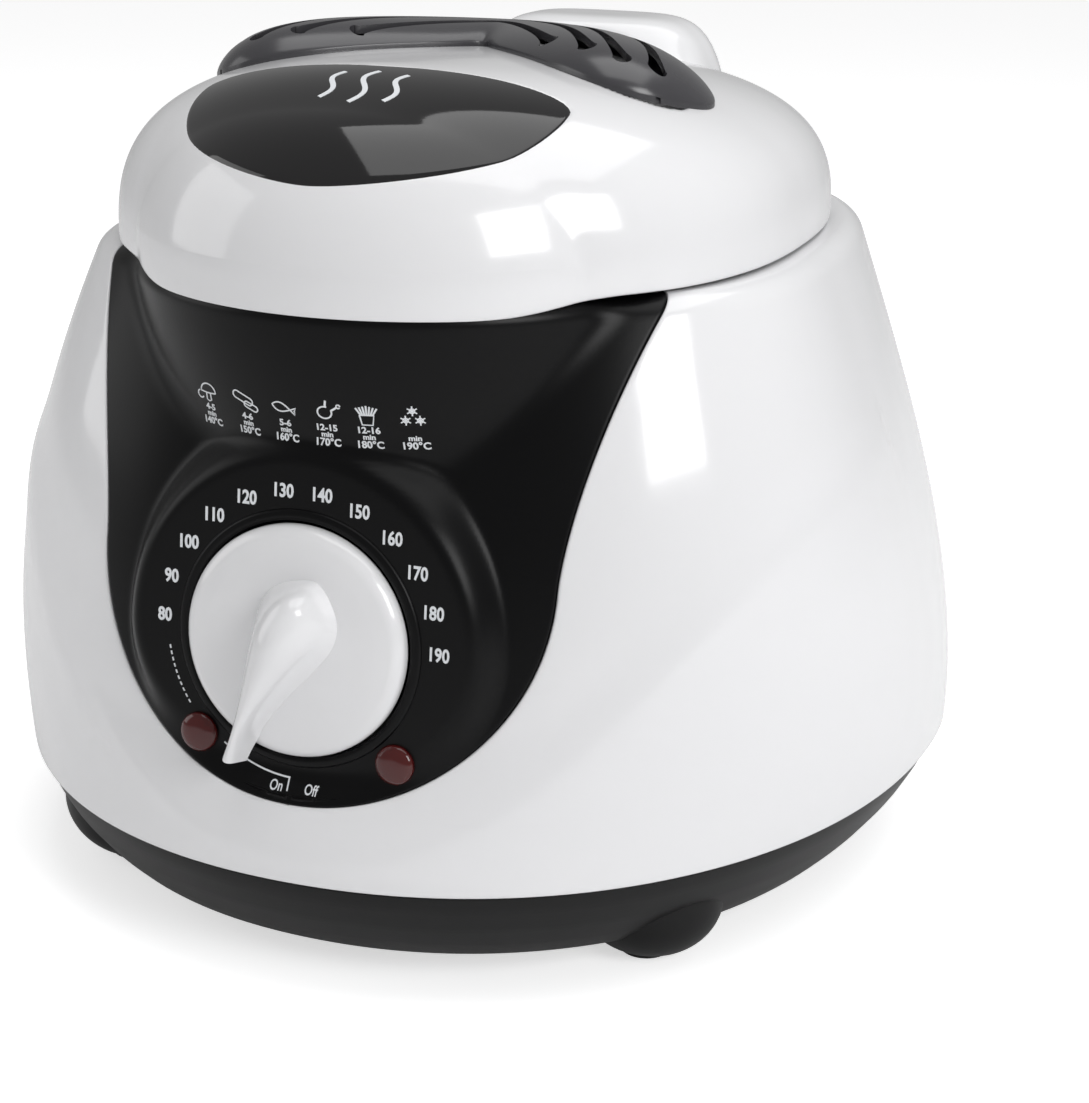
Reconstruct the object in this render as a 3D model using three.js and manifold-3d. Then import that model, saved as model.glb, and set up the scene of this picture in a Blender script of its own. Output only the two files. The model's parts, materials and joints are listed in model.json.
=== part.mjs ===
// Compact deep fryer: a round white moulded body on a dark base pan, with a black control panel,
// a hinged lid with a smoked window and a steam vent, a fixed inner pot and a lift-out basket.
// Millimetres, +Z up, front towards -Y. The outer form is written in units of half the body's
// width, from the parting line between the white housing and the dark base pan.
import * as THREE from "three";
import { mergeVertices } from "three/addons/utils/BufferGeometryUtils.js";
import Module from "manifold-3d";

const wasm = await Module();
wasm.setup();

// ---- driving dimensions, mm -------------------------------------------------------------------
const WIDTH = 300; // widest point of the body
const FORM = WIDTH / 2; // one unit of the outer form
const RIM_HEIGHT = 37.5; // parting line above the worktop
const FRAME_SHIFT = 28.3; // moves the form so that the object's box is centred on Y
const WALL = 2.6; // moulded plastic wall
const GAP = 0.3; // clearance between touching pieces
const DECK_Z = 159.3; // top of the housing above the parting line
const DECK_THICKNESS = 4.4;
const LID_Z = 160.2; // lower edge of the lid
const POT_CENTRE_Y = -15;
const POT_RADIUS = 84; // inside, at the mouth
const POT_DEPTH = 112;
const POT_WALL = 1.3;
const POT_FLANGE_RADIUS = 92;
const FLANGE_RECESS = 1.9;
const DIAL_TILT = THREE.MathUtils.degToRad(5.41); // the dial leans back from upright
const DIAL_Y = -1.06 * FORM;
const DIAL_Z = 0.4415 * FORM;
const KNOB_RADIUS = 32.8;
const SPINDLE_RADIUS = 3;
const LENS_RADIUS = 6; // indicator lens
const LENS_PITCH_RADIUS = 43.3; // lens centres, from the dial's centre
const LENS_CLOCK = 136; // degrees clockwise and anticlockwise from the top of the dial
const HINGE_Y = 111;
const HINGE_Z = 170;
const PIN_RADIUS = 2.4;
const BASKET_RADIUS = 75;
const BASKET_HEIGHT = 68;
const BASKET_FLOOR_Z = 62;

// ---- colours ----------------------------------------------------------------------------------
const finish = (color, roughness, metalness = 0) =>
  new THREE.MeshStandardMaterial({ color, roughness, metalness });
const whitePlastic = () => finish(0xf2f2f3, 0.22);
const blackPlastic = () => finish(0x17181a, 0.38);
const glossBlack = () => finish(0x0d0c0d, 0.1);
const darkPlastic = () => finish(0x2a2c2e, 0.5);
const redLens = () => finish(0x5a1512, 0.2);
const rubber = () => finish(0x161616, 0.85);
const steel = () => finish(0xb8babd, 0.3, 1);
const nonStick = () => finish(0x2c2c2e, 0.45, 0.2);
const ceramic = () => finish(0xe6dfcf, 0.7);

// ---- small tools ------------------------------------------------------------------------------
const smoothstep = (low, high, x) => THREE.MathUtils.smoothstep(x, low, high);

// The larger of two values, rounded over where they are within k of each other.
const softMax = (a, b, k) => {
  const h = Math.max(k - Math.abs(a - b), 0) / k;
  return Math.max(a, b) + (h * h * k) / 4;
};

// A closed geometry as a manifold-3d solid, in place (an optional matrix moves it first).
function solid(geometry, matrix) {
  const bare = geometry.clone();
  bare.deleteAttribute("normal");
  bare.deleteAttribute("uv");
  if (matrix) bare.applyMatrix4(matrix);
  const merged = mergeVertices(bare, 1e-4);
  return new wasm.Manifold(
    new wasm.Mesh({
      numProp: 3,
      vertProperties: merged.attributes.position.array,
      triVerts: new Uint32Array(merged.index.array),
    }),
  );
}

function geometryOf(manifold) {
  const mesh = manifold.getMesh();
  const geometry = new THREE.BufferGeometry();
  geometry.setAttribute("position", new THREE.BufferAttribute(mesh.vertProperties, 3));
  geometry.setIndex(new THREE.BufferAttribute(mesh.triVerts, 1));
  geometry.computeVertexNormals();
  return geometry;
}

const join = (first, ...rest) => rest.reduce((sum, s) => sum.add(s), first);
const cut = (first, ...rest) => rest.reduce((sum, s) => sum.subtract(s), first);

// A closed solid from rings of equal count, each a list of [x, y, z]. Rings run anticlockwise seen
// from above; a stack that climbs faces outwards. The first and last rings are closed by fans.
function loft(rings) {
  const count = rings[0].length;
  const points = rings.flat();
  const faces = [];
  for (let i = 0; i + 1 < rings.length; i++)
    for (let j = 0; j < count; j++) {
      const k = (j + 1) % count;
      const [a, b, c, d] = [i * count + j, i * count + k, (i + 1) * count + k, (i + 1) * count + j];
      faces.push(a, b, c, a, c, d);
    }
  const middle = (ring) => [0, 1, 2].map((n) => ring.reduce((sum, p) => sum + p[n], 0) / count);
  const low = points.push(middle(rings[0])) - 1;
  const high = points.push(middle(rings.at(-1))) - 1;
  const top = (rings.length - 1) * count;
  for (let j = 0; j < count; j++) {
    const k = (j + 1) % count;
    faces.push(low, k, j);
    faces.push(high, top + j, top + k);
  }
  const geometry = new THREE.BufferGeometry();
  geometry.setAttribute("position", new THREE.Float32BufferAttribute(points.flat(), 3));
  geometry.setIndex(faces);
  return geometry;
}

// A vertical prism over an outline of [x, y] points.
function prism(outline, low, high) {
  const shape = new THREE.Shape(outline.map(([x, y]) => new THREE.Vector2(x, y)));
  const geometry = new THREE.ExtrudeGeometry(shape, { depth: high - low, bevelEnabled: false });
  return geometry.translate(0, 0, low);
}

// A turned piece about a vertical axis: profile points are [radius, z], closed on themselves or on
// the axis.
function turned(profile, segments = 32, x = 0, y = 0) {
  const points = profile.map(([r, z]) => new THREE.Vector2(r, z));
  const geometry = new THREE.LatheGeometry(points, segments);
  return geometry.rotateX(Math.PI / 2).translate(x, y, 0);
}

// A cylinder along Z from low to high.
const rod = (radius, low, high, x = 0, y = 0, segments = 20) =>
  new THREE.CylinderGeometry(radius, radius, high - low, segments)
    .rotateX(Math.PI / 2)
    .translate(x, y, (low + high) / 2);

// A cylinder along X from low to high.
const crossRod = (radius, low, high, y, z, segments = 20) =>
  new THREE.CylinderGeometry(radius, radius, high - low, segments)
    .rotateZ(Math.PI / 2)
    .translate((low + high) / 2, y, z);

const block = (x0, x1, y0, y1, z0, z1) =>
  new THREE.BoxGeometry(x1 - x0, y1 - y0, z1 - z0).translate(
    (x0 + x1) / 2,
    (y0 + y1) / 2,
    (z0 + z1) / 2,
  );

// A round rod swept along a smooth curve through points.
function bentRod(points, radius, steps, sides = 8) {
  const path = new THREE.CatmullRomCurve3(points.map((p) => new THREE.Vector3(...p)));
  const section = new THREE.Shape();
  section.absarc(0, 0, radius, 0, Math.PI * 2);
  return new THREE.ExtrudeGeometry(section, { extrudePath: path, steps, curveSegments: sides });
}

const circle = (count, radius, x = 0, y = 0) =>
  Array.from({ length: count }, (_, i) => {
    const turn = (i / count) * Math.PI * 2;
    return [x + radius * Math.cos(turn), y + radius * Math.sin(turn)];
  });

// ---- outer form of the body, in form units ----------------------------------------------------
const halfWidth = (z) => 1 + 0.087 * z - 0.508 * z ** 2 + 0.181 * z ** 3;
const frontEdge = (z) => -1.168 + 0.422 * z - 0.454 * z ** 2 + 0.345 * z ** 3;
const backEdge = (z) => 0.777 + 0.332 * z - 0.3 * z ** 2;
const widestAt = (z) => -0.334 * z + 0.169 * z ** 2;
const BARREL_Y = -0.505; // the round swelling over the dial that carries the lid window
const barrelRadius = (z) => 0.55 * Math.sqrt(Math.max(1 - ((z - 1.12) / 0.8) ** 2, 0));

// Distance from (0, widestAt(z)) to a circle about the barrel's axis, along a direction.
function toBarrel(c, s, centre, radius) {
  const offset = BARREL_Y - centre;
  const inside = radius ** 2 - (offset * c) ** 2;
  return s < 0 && inside > 0 ? offset * s + Math.sqrt(inside) : 0;
}

// Superellipse radius along (c, s) with its own half-width, depths and powers front and back.
function ovalRadius(c, s, width, front, back, powerFront, powerBack) {
  const depth = s < 0 ? front : back;
  const power = s < 0 ? powerFront : powerBack;
  return ((Math.abs(c) / width) ** power + (Math.abs(s) / depth) ** power) ** (-1 / power);
}

// The body's radius about (0, widestAt(z)): an oval section, flattened where the dial sits and
// swollen by the barrel.
function bodyRadius(turn, z) {
  const [c, s, centre] = [Math.cos(turn), Math.sin(turn), widestAt(z)];
  const [front, back] = [centre - frontEdge(z), backEdge(z) - centre];
  let radius = ovalRadius(c, s, halfWidth(z), front, back, 2.085 + 0.802 * z, 2.085 + 0.473 * z);
  if (s < -0.3) {
    const rise = z - DIAL_Z / FORM;
    const flat = (DIAL_Y / FORM + rise * Math.tan(DIAL_TILT) - centre) / s;
    const away = Math.hypot(flat * c, rise < 0 ? 1.35 * rise : rise);
    radius += (flat - radius) * (1 - smoothstep(0.33, 0.42, away));
    radius = softMax(radius, toBarrel(c, s, centre, barrelRadius(z)), 0.03);
  }
  return radius;
}

// One horizontal ring of the body at height z (mm), inset by some mm.
const SHOULDER = 5; // rounding under the lid's seam
function bodyRing(z, inset = 0, count = 48) {
  const over = Math.max(z - (DECK_Z - SHOULDER), 0) / SHOULDER;
  const rounding = SHOULDER * (1 - Math.sqrt(Math.max(1 - over ** 2, 0)));
  const limit = Math.min(rounding, SHOULDER * 0.8);
  return Array.from({ length: count }, (_, i) => {
    const turn = (i / count) * Math.PI * 2;
    const radius = bodyRadius(turn, z / FORM) * FORM - inset - limit;
    return [radius * Math.cos(turn), widestAt(z / FORM) * FORM + radius * Math.sin(turn), z];
  });
}

const heights = (low, high, count) =>
  Array.from({ length: count + 1 }, (_, i) => low + ((high - low) * i) / count);

// ---- outer form of the lid, in form units -----------------------------------------------------
const LID = { width: 0.685, front: -0.938, back: 0.757, y: -0.155, powerFront: 2.483, powerBack: 2.346 };
const DOME = { base: 1.08, rise: 0.352, power: 2.411, round: 2.675, lean: -0.419 };
const LIP_RADIUS = 0.545;

function lidOutline(turn) {
  const [c, s] = [Math.cos(turn), Math.sin(turn)];
  const { width, front, back, y, powerFront, powerBack } = LID;
  const oval = ovalRadius(c, s, width, y - front, back - y, powerFront, powerBack);
  return softMax(oval, toBarrel(c, s, y, LIP_RADIUS), 0.008);
}

// How far out a plan point lies on the dome: 0 at its crown, 1 at the lid's outline.
function domeLevel(x, y) {
  let [low, high] = [0, 1.3];
  for (let i = 0; i < 24; i++) {
    const level = (low + high) / 2;
    const dy = y - LID.y - DOME.lean * (1 - level);
    const depth = dy < 0 ? LID.y - LID.front : LID.back - LID.y;
    const power = dy < 0 ? LID.powerFront : LID.powerBack;
    const reach = ((Math.abs(x) / LID.width) ** power + (Math.abs(dy) / depth) ** power) ** (1 / power);
    if (reach > level) low = level;
    else high = level;
  }
  return low;
}

// Height of the lid's skin over a plan point: dome, barrel top and rear hinge housing, blended.
function lidHeight(x, y) {
  const level = domeLevel(x, y);
  const swell = (q, power, round) => Math.max(1 - q ** power, 0) ** (1 / round);
  const dome = level < 1 ? DOME.base + DOME.rise * swell(level, DOME.power, DOME.round) : 1;
  const barrel = 1.05 + 0.352 * swell(Math.hypot(x, y - BARREL_Y) / 0.55, 4, 2.2);
  const across = ((Math.abs(x) / 0.31) ** 3.5 + (Math.abs(y - 0.56) / 0.19) ** 3.5) ** (1 / 3.5);
  const housing = 1 + 0.433 * swell(across, 6, 2);
  return softMax(softMax(dome, barrel, 0.03), housing, 0.05);
}

const skinZ = (x, y) => lidHeight(x / FORM, y / FORM) * FORM;

// A closed lid-shaped solid: rings from its lower edge to its crown, inset sideways and downwards.
function lidForm(edgeZ, inset, count, rows) {
  const ring = (level, z) =>
    Array.from({ length: count }, (_, i) => {
      const turn = (i / count) * Math.PI * 2;
      const radius = (lidOutline(turn) * FORM - inset) * level;
      const [x, y] = [radius * Math.cos(turn), LID.y * FORM + radius * Math.sin(turn)];
      return [x, y, z ?? Math.max(skinZ(x, y) - inset, LID_Z + 2)];
    });
  const levels = heights(0, 1, rows).map((t) => Math.sin((Math.PI / 2) * (1 - t)));
  const rings = levels.slice(0, -1).map((level) => ring(level));
  return loft([ring(1, edgeZ), ...rings, ring(0.02)]);
}

// ---- plan outlines of the lid's inserts -------------------------------------------------------
// The window is nearly straight at the back and round in front.
function windowOutline(grow, count = 26) {
  return Array.from({ length: count }, (_, i) => {
    const turn = (i / count) * Math.PI * 2;
    const [c, s] = [Math.cos(turn), Math.sin(turn)];
    const radius = ovalRadius(c, s, 0.372, 0.308, 0.06, 1.85, 4.6) * FORM + grow;
    return [radius * c, -0.695 * FORM + radius * s];
  });
}

// The vent is an arch open to the front: along is -1..1 from end to end, across -1..1 front to back.
const VENT_SPAN = 0.46;
const VENT_HALF = 0.148;
function ventPoint(along, across, grow = 0) {
  const x = VENT_SPAN * along;
  const lean = x / Math.hypot(x, 0.25);
  const spread = across > 0 ? 1 + 0.6 * along ** 2 : 1;
  const half = VENT_HALF * spread * Math.sqrt(Math.max(1 - along ** 8, 0)) + grow / FORM;
  const size = Math.hypot(lean, 1);
  return [
    (x + (lean / size) * half * across) * FORM,
    (0.01 - Math.hypot(x, 0.025) + (half * across) / size) * FORM,
  ];
}

// Skin over a rectangular patch of (u, v): upper and lower sheets joined by side walls.
function sheet(columns, rows, plan, upper, lower) {
  const points = [];
  const at = (side, i, j) => side * (columns + 1) * (rows + 1) + i * (rows + 1) + j;
  for (const z of [upper, lower])
    for (let i = 0; i <= columns; i++)
      for (let j = 0; j <= rows; j++) {
        const [u, v] = [i / columns, j / rows];
        const [x, y] = plan(u, v);
        points.push(x, y, z(x, y, u, v));
      }
  const faces = [];
  const quad = (a, b, c, d) => faces.push(a, b, c, a, c, d);
  for (let i = 0; i < columns; i++)
    for (let j = 0; j < rows; j++) {
      quad(at(0, i, j), at(0, i + 1, j), at(0, i + 1, j + 1), at(0, i, j + 1));
      quad(at(1, i, j), at(1, i, j + 1), at(1, i + 1, j + 1), at(1, i + 1, j));
    }
  for (let i = 0; i < columns; i++) {
    quad(at(1, i, 0), at(1, i + 1, 0), at(0, i + 1, 0), at(0, i, 0));
    quad(at(0, i, rows), at(0, i + 1, rows), at(1, i + 1, rows), at(1, i, rows));
  }
  for (let j = 0; j < rows; j++) {
    quad(at(0, 0, j), at(0, 0, j + 1), at(1, 0, j + 1), at(1, 0, j));
    quad(at(1, columns, j), at(1, columns, j + 1), at(0, columns, j + 1), at(0, columns, j));
  }
  const geometry = new THREE.BufferGeometry();
  geometry.setAttribute("position", new THREE.Float32BufferAttribute(points, 3));
  geometry.setIndex(faces);
  return geometry;
}

// ---- the assembly -----------------------------------------------------------------------------
const fryer = new THREE.Group();
fryer.position.set(0, FRAME_SHIFT, RIM_HEIGHT);

function place(name, shape, material, parent = fryer) {
  const geometry = shape.isBufferGeometry ? shape : geometryOf(shape);
  const mesh = new THREE.Mesh(geometry, material);
  mesh.name = name;
  parent.add(mesh);
  return mesh;
}

// A flat frame on the dial: X across, Y up the dial, Z out of it.
const dial = new THREE.Group();
dial.position.set(0, DIAL_Y, DIAL_Z);
dial.rotation.x = Math.PI / 2 - DIAL_TILT;
fryer.add(dial);
dial.updateMatrix();
const onDial = (geometry) => solid(geometry, dial.matrix);
const clockPoint = (degrees, radius) => {
  const turn = THREE.MathUtils.degToRad(degrees);
  return [radius * Math.sin(turn), radius * Math.cos(turn)];
};

// -- housing and control panel: one moulded skin, split along the panel's edge
const PANEL_BOTTOM = 0.135;
const PANEL_KNEE = 0.56; // where the round foot of the panel meets its flaring sides
const PANEL_HALF = 0.462; // half-width at the knee
function panelHalfWidth(z) {
  if (z > PANEL_KNEE) return PANEL_HALF + 0.116 * ((z - PANEL_KNEE) / 0.5) ** 1.5;
  return PANEL_HALF * (1 - ((PANEL_KNEE - z) / (PANEL_KNEE - PANEL_BOTTOM)) ** 2.05) ** (1 / 2.05);
}

function panelPrism(grow) {
  const levels = heights(0, 1, 9).map((t) => PANEL_BOTTOM + (PANEL_KNEE - PANEL_BOTTOM) * t ** 1.8);
  const upper = [0.7, 0.85, 1.0, 1.15];
  const side = [...levels.slice(1), ...upper];
  const edge = (z, sign) => [sign * (panelHalfWidth(z) * FORM + grow), z * FORM];
  const outline = [
    [0, PANEL_BOTTOM * FORM - grow],
    ...side.map((z) => edge(z, 1)),
    ...side.reverse().map((z) => edge(z, -1)),
  ];
  const shape = new THREE.Shape(outline.map(([x, z]) => new THREE.Vector2(x, z)));
  const depth = 120;
  return solid(
    new THREE.ExtrudeGeometry(shape, { depth, bevelEnabled: false })
      .rotateX(Math.PI / 2)
      .translate(0, -80, 0),
  );
}

const bodyRows = [0, 14, 28, 44, 64, 84, 100, 114, 130, 146, 155.5, DECK_Z - 1, DECK_Z];
const bodyOuter = solid(loft(bodyRows.map((z) => bodyRing(z))));
const innerRows = [-1, ...bodyRows.slice(1, -3), DECK_Z - DECK_THICKNESS];
const bodyInner = solid(
  loft(innerRows.map((z) => bodyRing(Math.max(z, 0), WALL).map(([x, y]) => [x, y, z]))),
);
const potMouth = join(
  solid(rod(POT_RADIUS + POT_WALL + 1.2, 100, 200, 0, POT_CENTRE_Y, 44)),
  solid(rod(POT_FLANGE_RADIUS + 0.8, DECK_Z - FLANGE_RECESS, 200, 0, POT_CENTRE_Y, 44)),
);
const bodySkin = cut(bodyOuter, bodyInner, potMouth);

function housing() {
  const screwPost = (x, y) => solid(rod(5, -18, 30, x, y, 10));
  const posts = screwPoints.map(([x, y]) => join(screwPost(x, y), solid(block(...rib(x, y)))));
  const bores = screwPoints.map(([x, y]) => solid(rod(1.9, -20, 0, x, y, 8)));
  const shell = cut(bodySkin, panelPrism(GAP / 2));
  return cut(join(shell, ...posts.map((post) => post.intersect(bodyOuter))), ...bores);
}

// Four screw posts stand inside the wall, each tied to it by a rib.
const screwPoints = [[-96, -84], [96, -84], [-96, 52], [96, 52]];
const rib = (x, y) => {
  const out = x > 0 ? [x, x + 40] : [x - 40, x];
  return [...out, y - 1.5, y + 1.5, 0.5, 29];
};

place("outer_housing", housing(), whitePlastic());

function frontPanel() {
  const skin = bodySkin.intersect(panelPrism(-GAP / 2));
  const backing = onDial(rod(38, -5.5, -0.6, 0, 0, 40));
  const posts = [-24, 24].map((x) => onDial(rod(3.5, -10.6, -4, x, 0, 12)));
  const well = onDial(rod(KNOB_RADIUS + 1.4, -2.6, 12, 0, 0, 48));
  const spindleHole = onDial(rod(SPINDLE_RADIUS + 1.2, -20, 5, 0, 0, 16));
  const lensHoles = [-1, 1].map((side) => {
    const [x, y] = clockPoint(side * LENS_CLOCK, LENS_PITCH_RADIUS);
    return onDial(rod(4.6, -12, 8, x, y, 20));
  });
  return cut(join(skin, backing, ...posts), well, spindleHole, ...lensHoles);
}
place("front_panel", frontPanel(), blackPlastic());

// A cylinder about the cord gland's axis, which runs along Y.
const GLAND_X = 34;
const GLAND_Z = -14;
const glandRing = (radius, low, high, sides) =>
  solid(
    new THREE.CylinderGeometry(radius, radius, high - low, sides)
      .translate(GLAND_X, (low + high) / 2, GLAND_Z),
  );

// -- base pan: a shallow dark tray whose wall leans in, with four rounded foot pods
const BASE_DEPTH = 30;
const PAN_WALL = 2.5;
const podPoints = [[-86, -106], [86, -106], [-82, 66], [82, 66]];
function baseRing(z, inset, count = 48) {
  const drop = -z / BASE_DEPTH;
  const scale = 0.985 - 0.135 * drop ** 1.6;
  return bodyRing(0, inset, count).map(([x, y]) => [x * scale, -29 + (y + 29) * scale, z]);
}

function basePan() {
  const outer = solid(loft([-30, -28, -20, -10, -0.4].map((z) => baseRing(z, z < -29 ? 5 : 0))));
  const inner = solid(loft([-27.5, -14, 2].map((z) => baseRing(Math.min(z, 0), PAN_WALL, 32)
    .map(([x, y]) => [x, y, z]))));
  const pod = (x, y) => {
    const ball = new THREE.SphereGeometry(1, 12, 6).scale(23, 19, 20).translate(x, y, -18);
    return solid(ball).intersect(solid(block(x - 30, x + 30, y - 30, y + 30, -36.2, -12)));
  };
  const pods = podPoints.map(([x, y]) => pod(x, y));
  const pockets = podPoints.map(([x, y]) => solid(rod(8.3, -40, -34, x, y, 16)));
  const screwWells = screwPoints.flatMap(([x, y]) => [
    solid(rod(4.2, -40, -24, x, y, 10)),
    solid(rod(1.9, -40, -10, x, y, 8)),
  ]);
  const bosses = screwPoints.map(([x, y]) => solid(rod(6.4, -29, -18.4, x, y, 10)));
  const tray = cut(outer, inner);
  const boss = glandRing(11.5, 98, 108.2, 14);
  const glandHoles = [[6.3, 80, 120], [9.3, 108.2, 125], [8.4, 90, 97.9]].map(([radius, low, high]) =>
    glandRing(radius, low, high, 14));
  return cut(join(tray, ...pods.map((p) => cut(p, inner)), ...bosses, boss), ...pockets,
    ...screwWells, ...glandHoles);
}
place("base_pan", basePan(), darkPlastic());

podPoints.forEach(([x, y], i) => {
  const pad = rod(8, -RIM_HEIGHT, -34.3, x, y, 16);
  place(`foot_pad_${i + 1}`, pad, rubber());
});

screwPoints.forEach(([x, y], i) => {
  const screw = join(solid(rod(3.6, -26.6, -24.3, x, y, 10)), solid(rod(1.5, -25, -4, x, y, 8)));
  place(`base_screw_${i + 1}`, screw, steel());
});

// -- the cord's gland: a rubber bush with a flange outside the wall, bored for a 7 mm lead
function glandBush() {
  const flange = glandRing(9, 108.5, 112, 14);
  const bush = join(flange, glandRing(6, 94.5, 109, 14), glandRing(8, 94.5, 97.6, 14));
  return bush.subtract(glandRing(3.6, 80, 130, 12));
}
place("cord_gland", glandBush(), rubber());

// -- terminal block on the pan's floor
function terminalBlock() {
  const body = solid(block(-22, 12, 62, 78, -27.1, -14));
  const ports = [-16, -5, 6].map((x) => solid(rod(2.2, -20, 0, x, 70, 12)));
  return cut(body, ...ports);
}
place("terminal_block", terminalBlock(), ceramic());

// -- pot: drawn aluminium with a rolled flange that rests in the deck's recess
const POT_TOP = DECK_Z - FLANGE_RECESS + GAP;
const POT_BOTTOM = POT_TOP - POT_DEPTH;
function pot() {
  const [r, t] = [POT_RADIUS, POT_WALL];
  return turned(
    [
      [0, POT_BOTTOM],
      [r - 16, POT_BOTTOM],
      [r - 7, POT_BOTTOM + 3],
      [r - 3, POT_BOTTOM + 11],
      [r + t, POT_TOP],
      [POT_FLANGE_RADIUS, POT_TOP],
      [POT_FLANGE_RADIUS, POT_TOP + t],
      [r, POT_TOP + t],
      [r - 3 - t, POT_BOTTOM + 12],
      [r - 8, POT_BOTTOM + 4.3],
      [r - 16, POT_BOTTOM + t],
      [0, POT_BOTTOM + t],
    ],
    36,
    0,
    POT_CENTRE_Y,
  );
}
place("inner_pot", pot(), nonStick());

// -- tubular heating element under the pot, with its two cold ends turned down
const ELEMENT_RADIUS = 56;
const ELEMENT_Z = POT_BOTTOM - 5.3;
function elementLoop() {
  const loop = [];
  for (let degrees = 20; degrees <= 340; degrees += 20) {
    const turn = THREE.MathUtils.degToRad(degrees - 90);
    loop.push([
      ELEMENT_RADIUS * Math.cos(turn),
      POT_CENTRE_Y + ELEMENT_RADIUS * Math.sin(turn),
      ELEMENT_Z,
    ]);
  }
  const end = (x) => [x, POT_CENTRE_Y - ELEMENT_RADIUS - 4, ELEMENT_Z - 16];
  return bentRod([end(14), ...loop, end(-14)], 3.8, 32, 4);
}
place("heating_element", elementLoop(), steel());

function elementClamp() {
  const bar = solid(block(-64, 64, POT_CENTRE_Y - 6, POT_CENTRE_Y + 6, ELEMENT_Z - 5.5, ELEMENT_Z - 4.1));
  return bar.subtract(solid(rod(9.4, -50, 100, 0, POT_CENTRE_Y, 20)));
}
function clampWithRing() {
  const ring = solid(rod(13, ELEMENT_Z - 5.5, ELEMENT_Z - 4.1, 0, POT_CENTRE_Y, 24));
  return join(elementClamp(), ring.subtract(solid(rod(9.4, -50, 100, 0, POT_CENTRE_Y, 20))));
}
place("element_clamp", clampWithRing(), steel());

place("thermal_cutout", rod(8.8, ELEMENT_Z - 8, POT_BOTTOM - GAP, 0, POT_CENTRE_Y, 20), ceramic());

// -- heat shield: a thin dish under the element that keeps heat off the base
const SHIELD_Z = ELEMENT_Z - 26;
place(
  "heat_shield",
  turned(
    [
      [0, SHIELD_Z],
      [66, SHIELD_Z],
      [76, SHIELD_Z + 14],
      [82, SHIELD_Z + 14],
      [82, SHIELD_Z + 14.8],
      [75.4, SHIELD_Z + 14.8],
      [65.4, SHIELD_Z + 0.8],
      [0, SHIELD_Z + 0.8],
    ],
    28,
    0,
    POT_CENTRE_Y,
  ),
  steel(),
);

// -- thermostat: body on a bracket behind the panel, its bulb clipped to the pot
const BRACKET_FACE = -10.9;
function bracket() {
  const plate = solid(block(-30, 30, -15, 15, BRACKET_FACE - 1.3, BRACKET_FACE));
  return cut(
    plate,
    solid(rod(SPINDLE_RADIUS + 1, -30, 0, 0, 0, 16)),
    solid(rod(1.9, -30, 0, -24, 0, 10)),
    solid(rod(1.9, -30, 0, 24, 0, 10)),
  );
}
place("thermostat_bracket", bracket(), steel(), dial);

[-24, 24].forEach((x, i) => {
  const side = ["left", "right"][i];
  const head = rod(3.2, BRACKET_FACE - 3.7, BRACKET_FACE - 1.6, x, 0, 14);
  place(`bracket_screw_${side}`, head, steel(), dial);
});

function thermostatBody() {
  const top = BRACKET_FACE - 1.6;
  const body = solid(block(-16, 16, -16, 16, top - 15, top));
  return body.subtract(solid(rod(SPINDLE_RADIUS + 0.4, top - 9, top + 2, 0, 0, 16)));
}
place("thermostat_body", thermostatBody(), ceramic(), dial);

const BULB_Y = POT_CENTRE_Y - POT_RADIUS - 7;
place("thermostat_bulb", crossRod(3, -26, 34, BULB_Y, 60, 12), steel());
place(
  "capillary_tube",
  bentRod([[34.4, BULB_Y, 60], [42, BULB_Y, 60], [46, BULB_Y - 8, 70], [36, BULB_Y - 14, 92],
    [14, BULB_Y - 17, 96], [4, BULB_Y - 17.5, 84.2]], 0.9, 20, 2),
  steel(),
);

// -- indicator lamps: red domed lenses in the panel, neon tubes behind them
const lensProfile = [[0, -6], [4.2, -6], [4.2, 1], [LENS_RADIUS, 1], [LENS_RADIUS, 1.4],
  [4.8, 2.1], [2.6, 2.8], [0, 3]];
const neonProfile = [[0, -16], [2.4, -16], [2.4, -8], [1.4, -6.4], [0, -6.3]];
["left", "right"].forEach((side, i) => {
  const [x, y] = clockPoint((i ? 1 : -1) * LENS_CLOCK, LENS_PITCH_RADIUS);
  place(`indicator_lens_${side}`, turned(lensProfile, 14, x, y), redLens(), dial);
  place(`neon_lamp_${side}`, turned(neonProfile, 12, x, y), finish(0xd8a078, 0.2), dial);
});

// -- knob: a shallow white disc with a teardrop grip, pressed on the thermostat spindle
const KNOB_REST = -156; // degrees on the clock
const knobGroup = new THREE.Group();
knobGroup.rotation.z = -THREE.MathUtils.degToRad(KNOB_REST);
dial.add(knobGroup);

const KNOB_BACK = -2.2;
// Stations along the grip: distance towards its tip, half-width, height of its ridge and foot.
const GRIP_STATIONS = 11;
function gripStation(t) {
  const reach = -19 + 61.5 * t;
  const width = 11.6 * Math.sin(Math.PI * Math.min(t * 1.35 + 0.06, 0.5)) * (1 - t ** 1.6) ** 0.9 + 1.4;
  const ridge = 9 + 15.5 * Math.sin(Math.PI * Math.min(0.12 + t * 0.9, 0.5)) * (1 - 0.62 * t ** 2.2);
  const foot = t < 0.72 ? 3 : 3 + 3.4 * smoothstep(0.72, 0.95, t);
  return { reach, width, ridge, foot };
}

function grip() {
  const rings = heights(0, 1, GRIP_STATIONS).map((t) => {
    const { reach, width, ridge, foot } = gripStation(t);
    return Array.from({ length: 14 }, (_, i) => {
      const turn = -(i / 14) * Math.PI * 2;
      const rise = (Math.sin(turn) + 1) / 2;
      return [width * Math.cos(turn), reach, foot + (ridge - foot) * rise];
    });
  });
  return solid(loft(rings));
}

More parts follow.
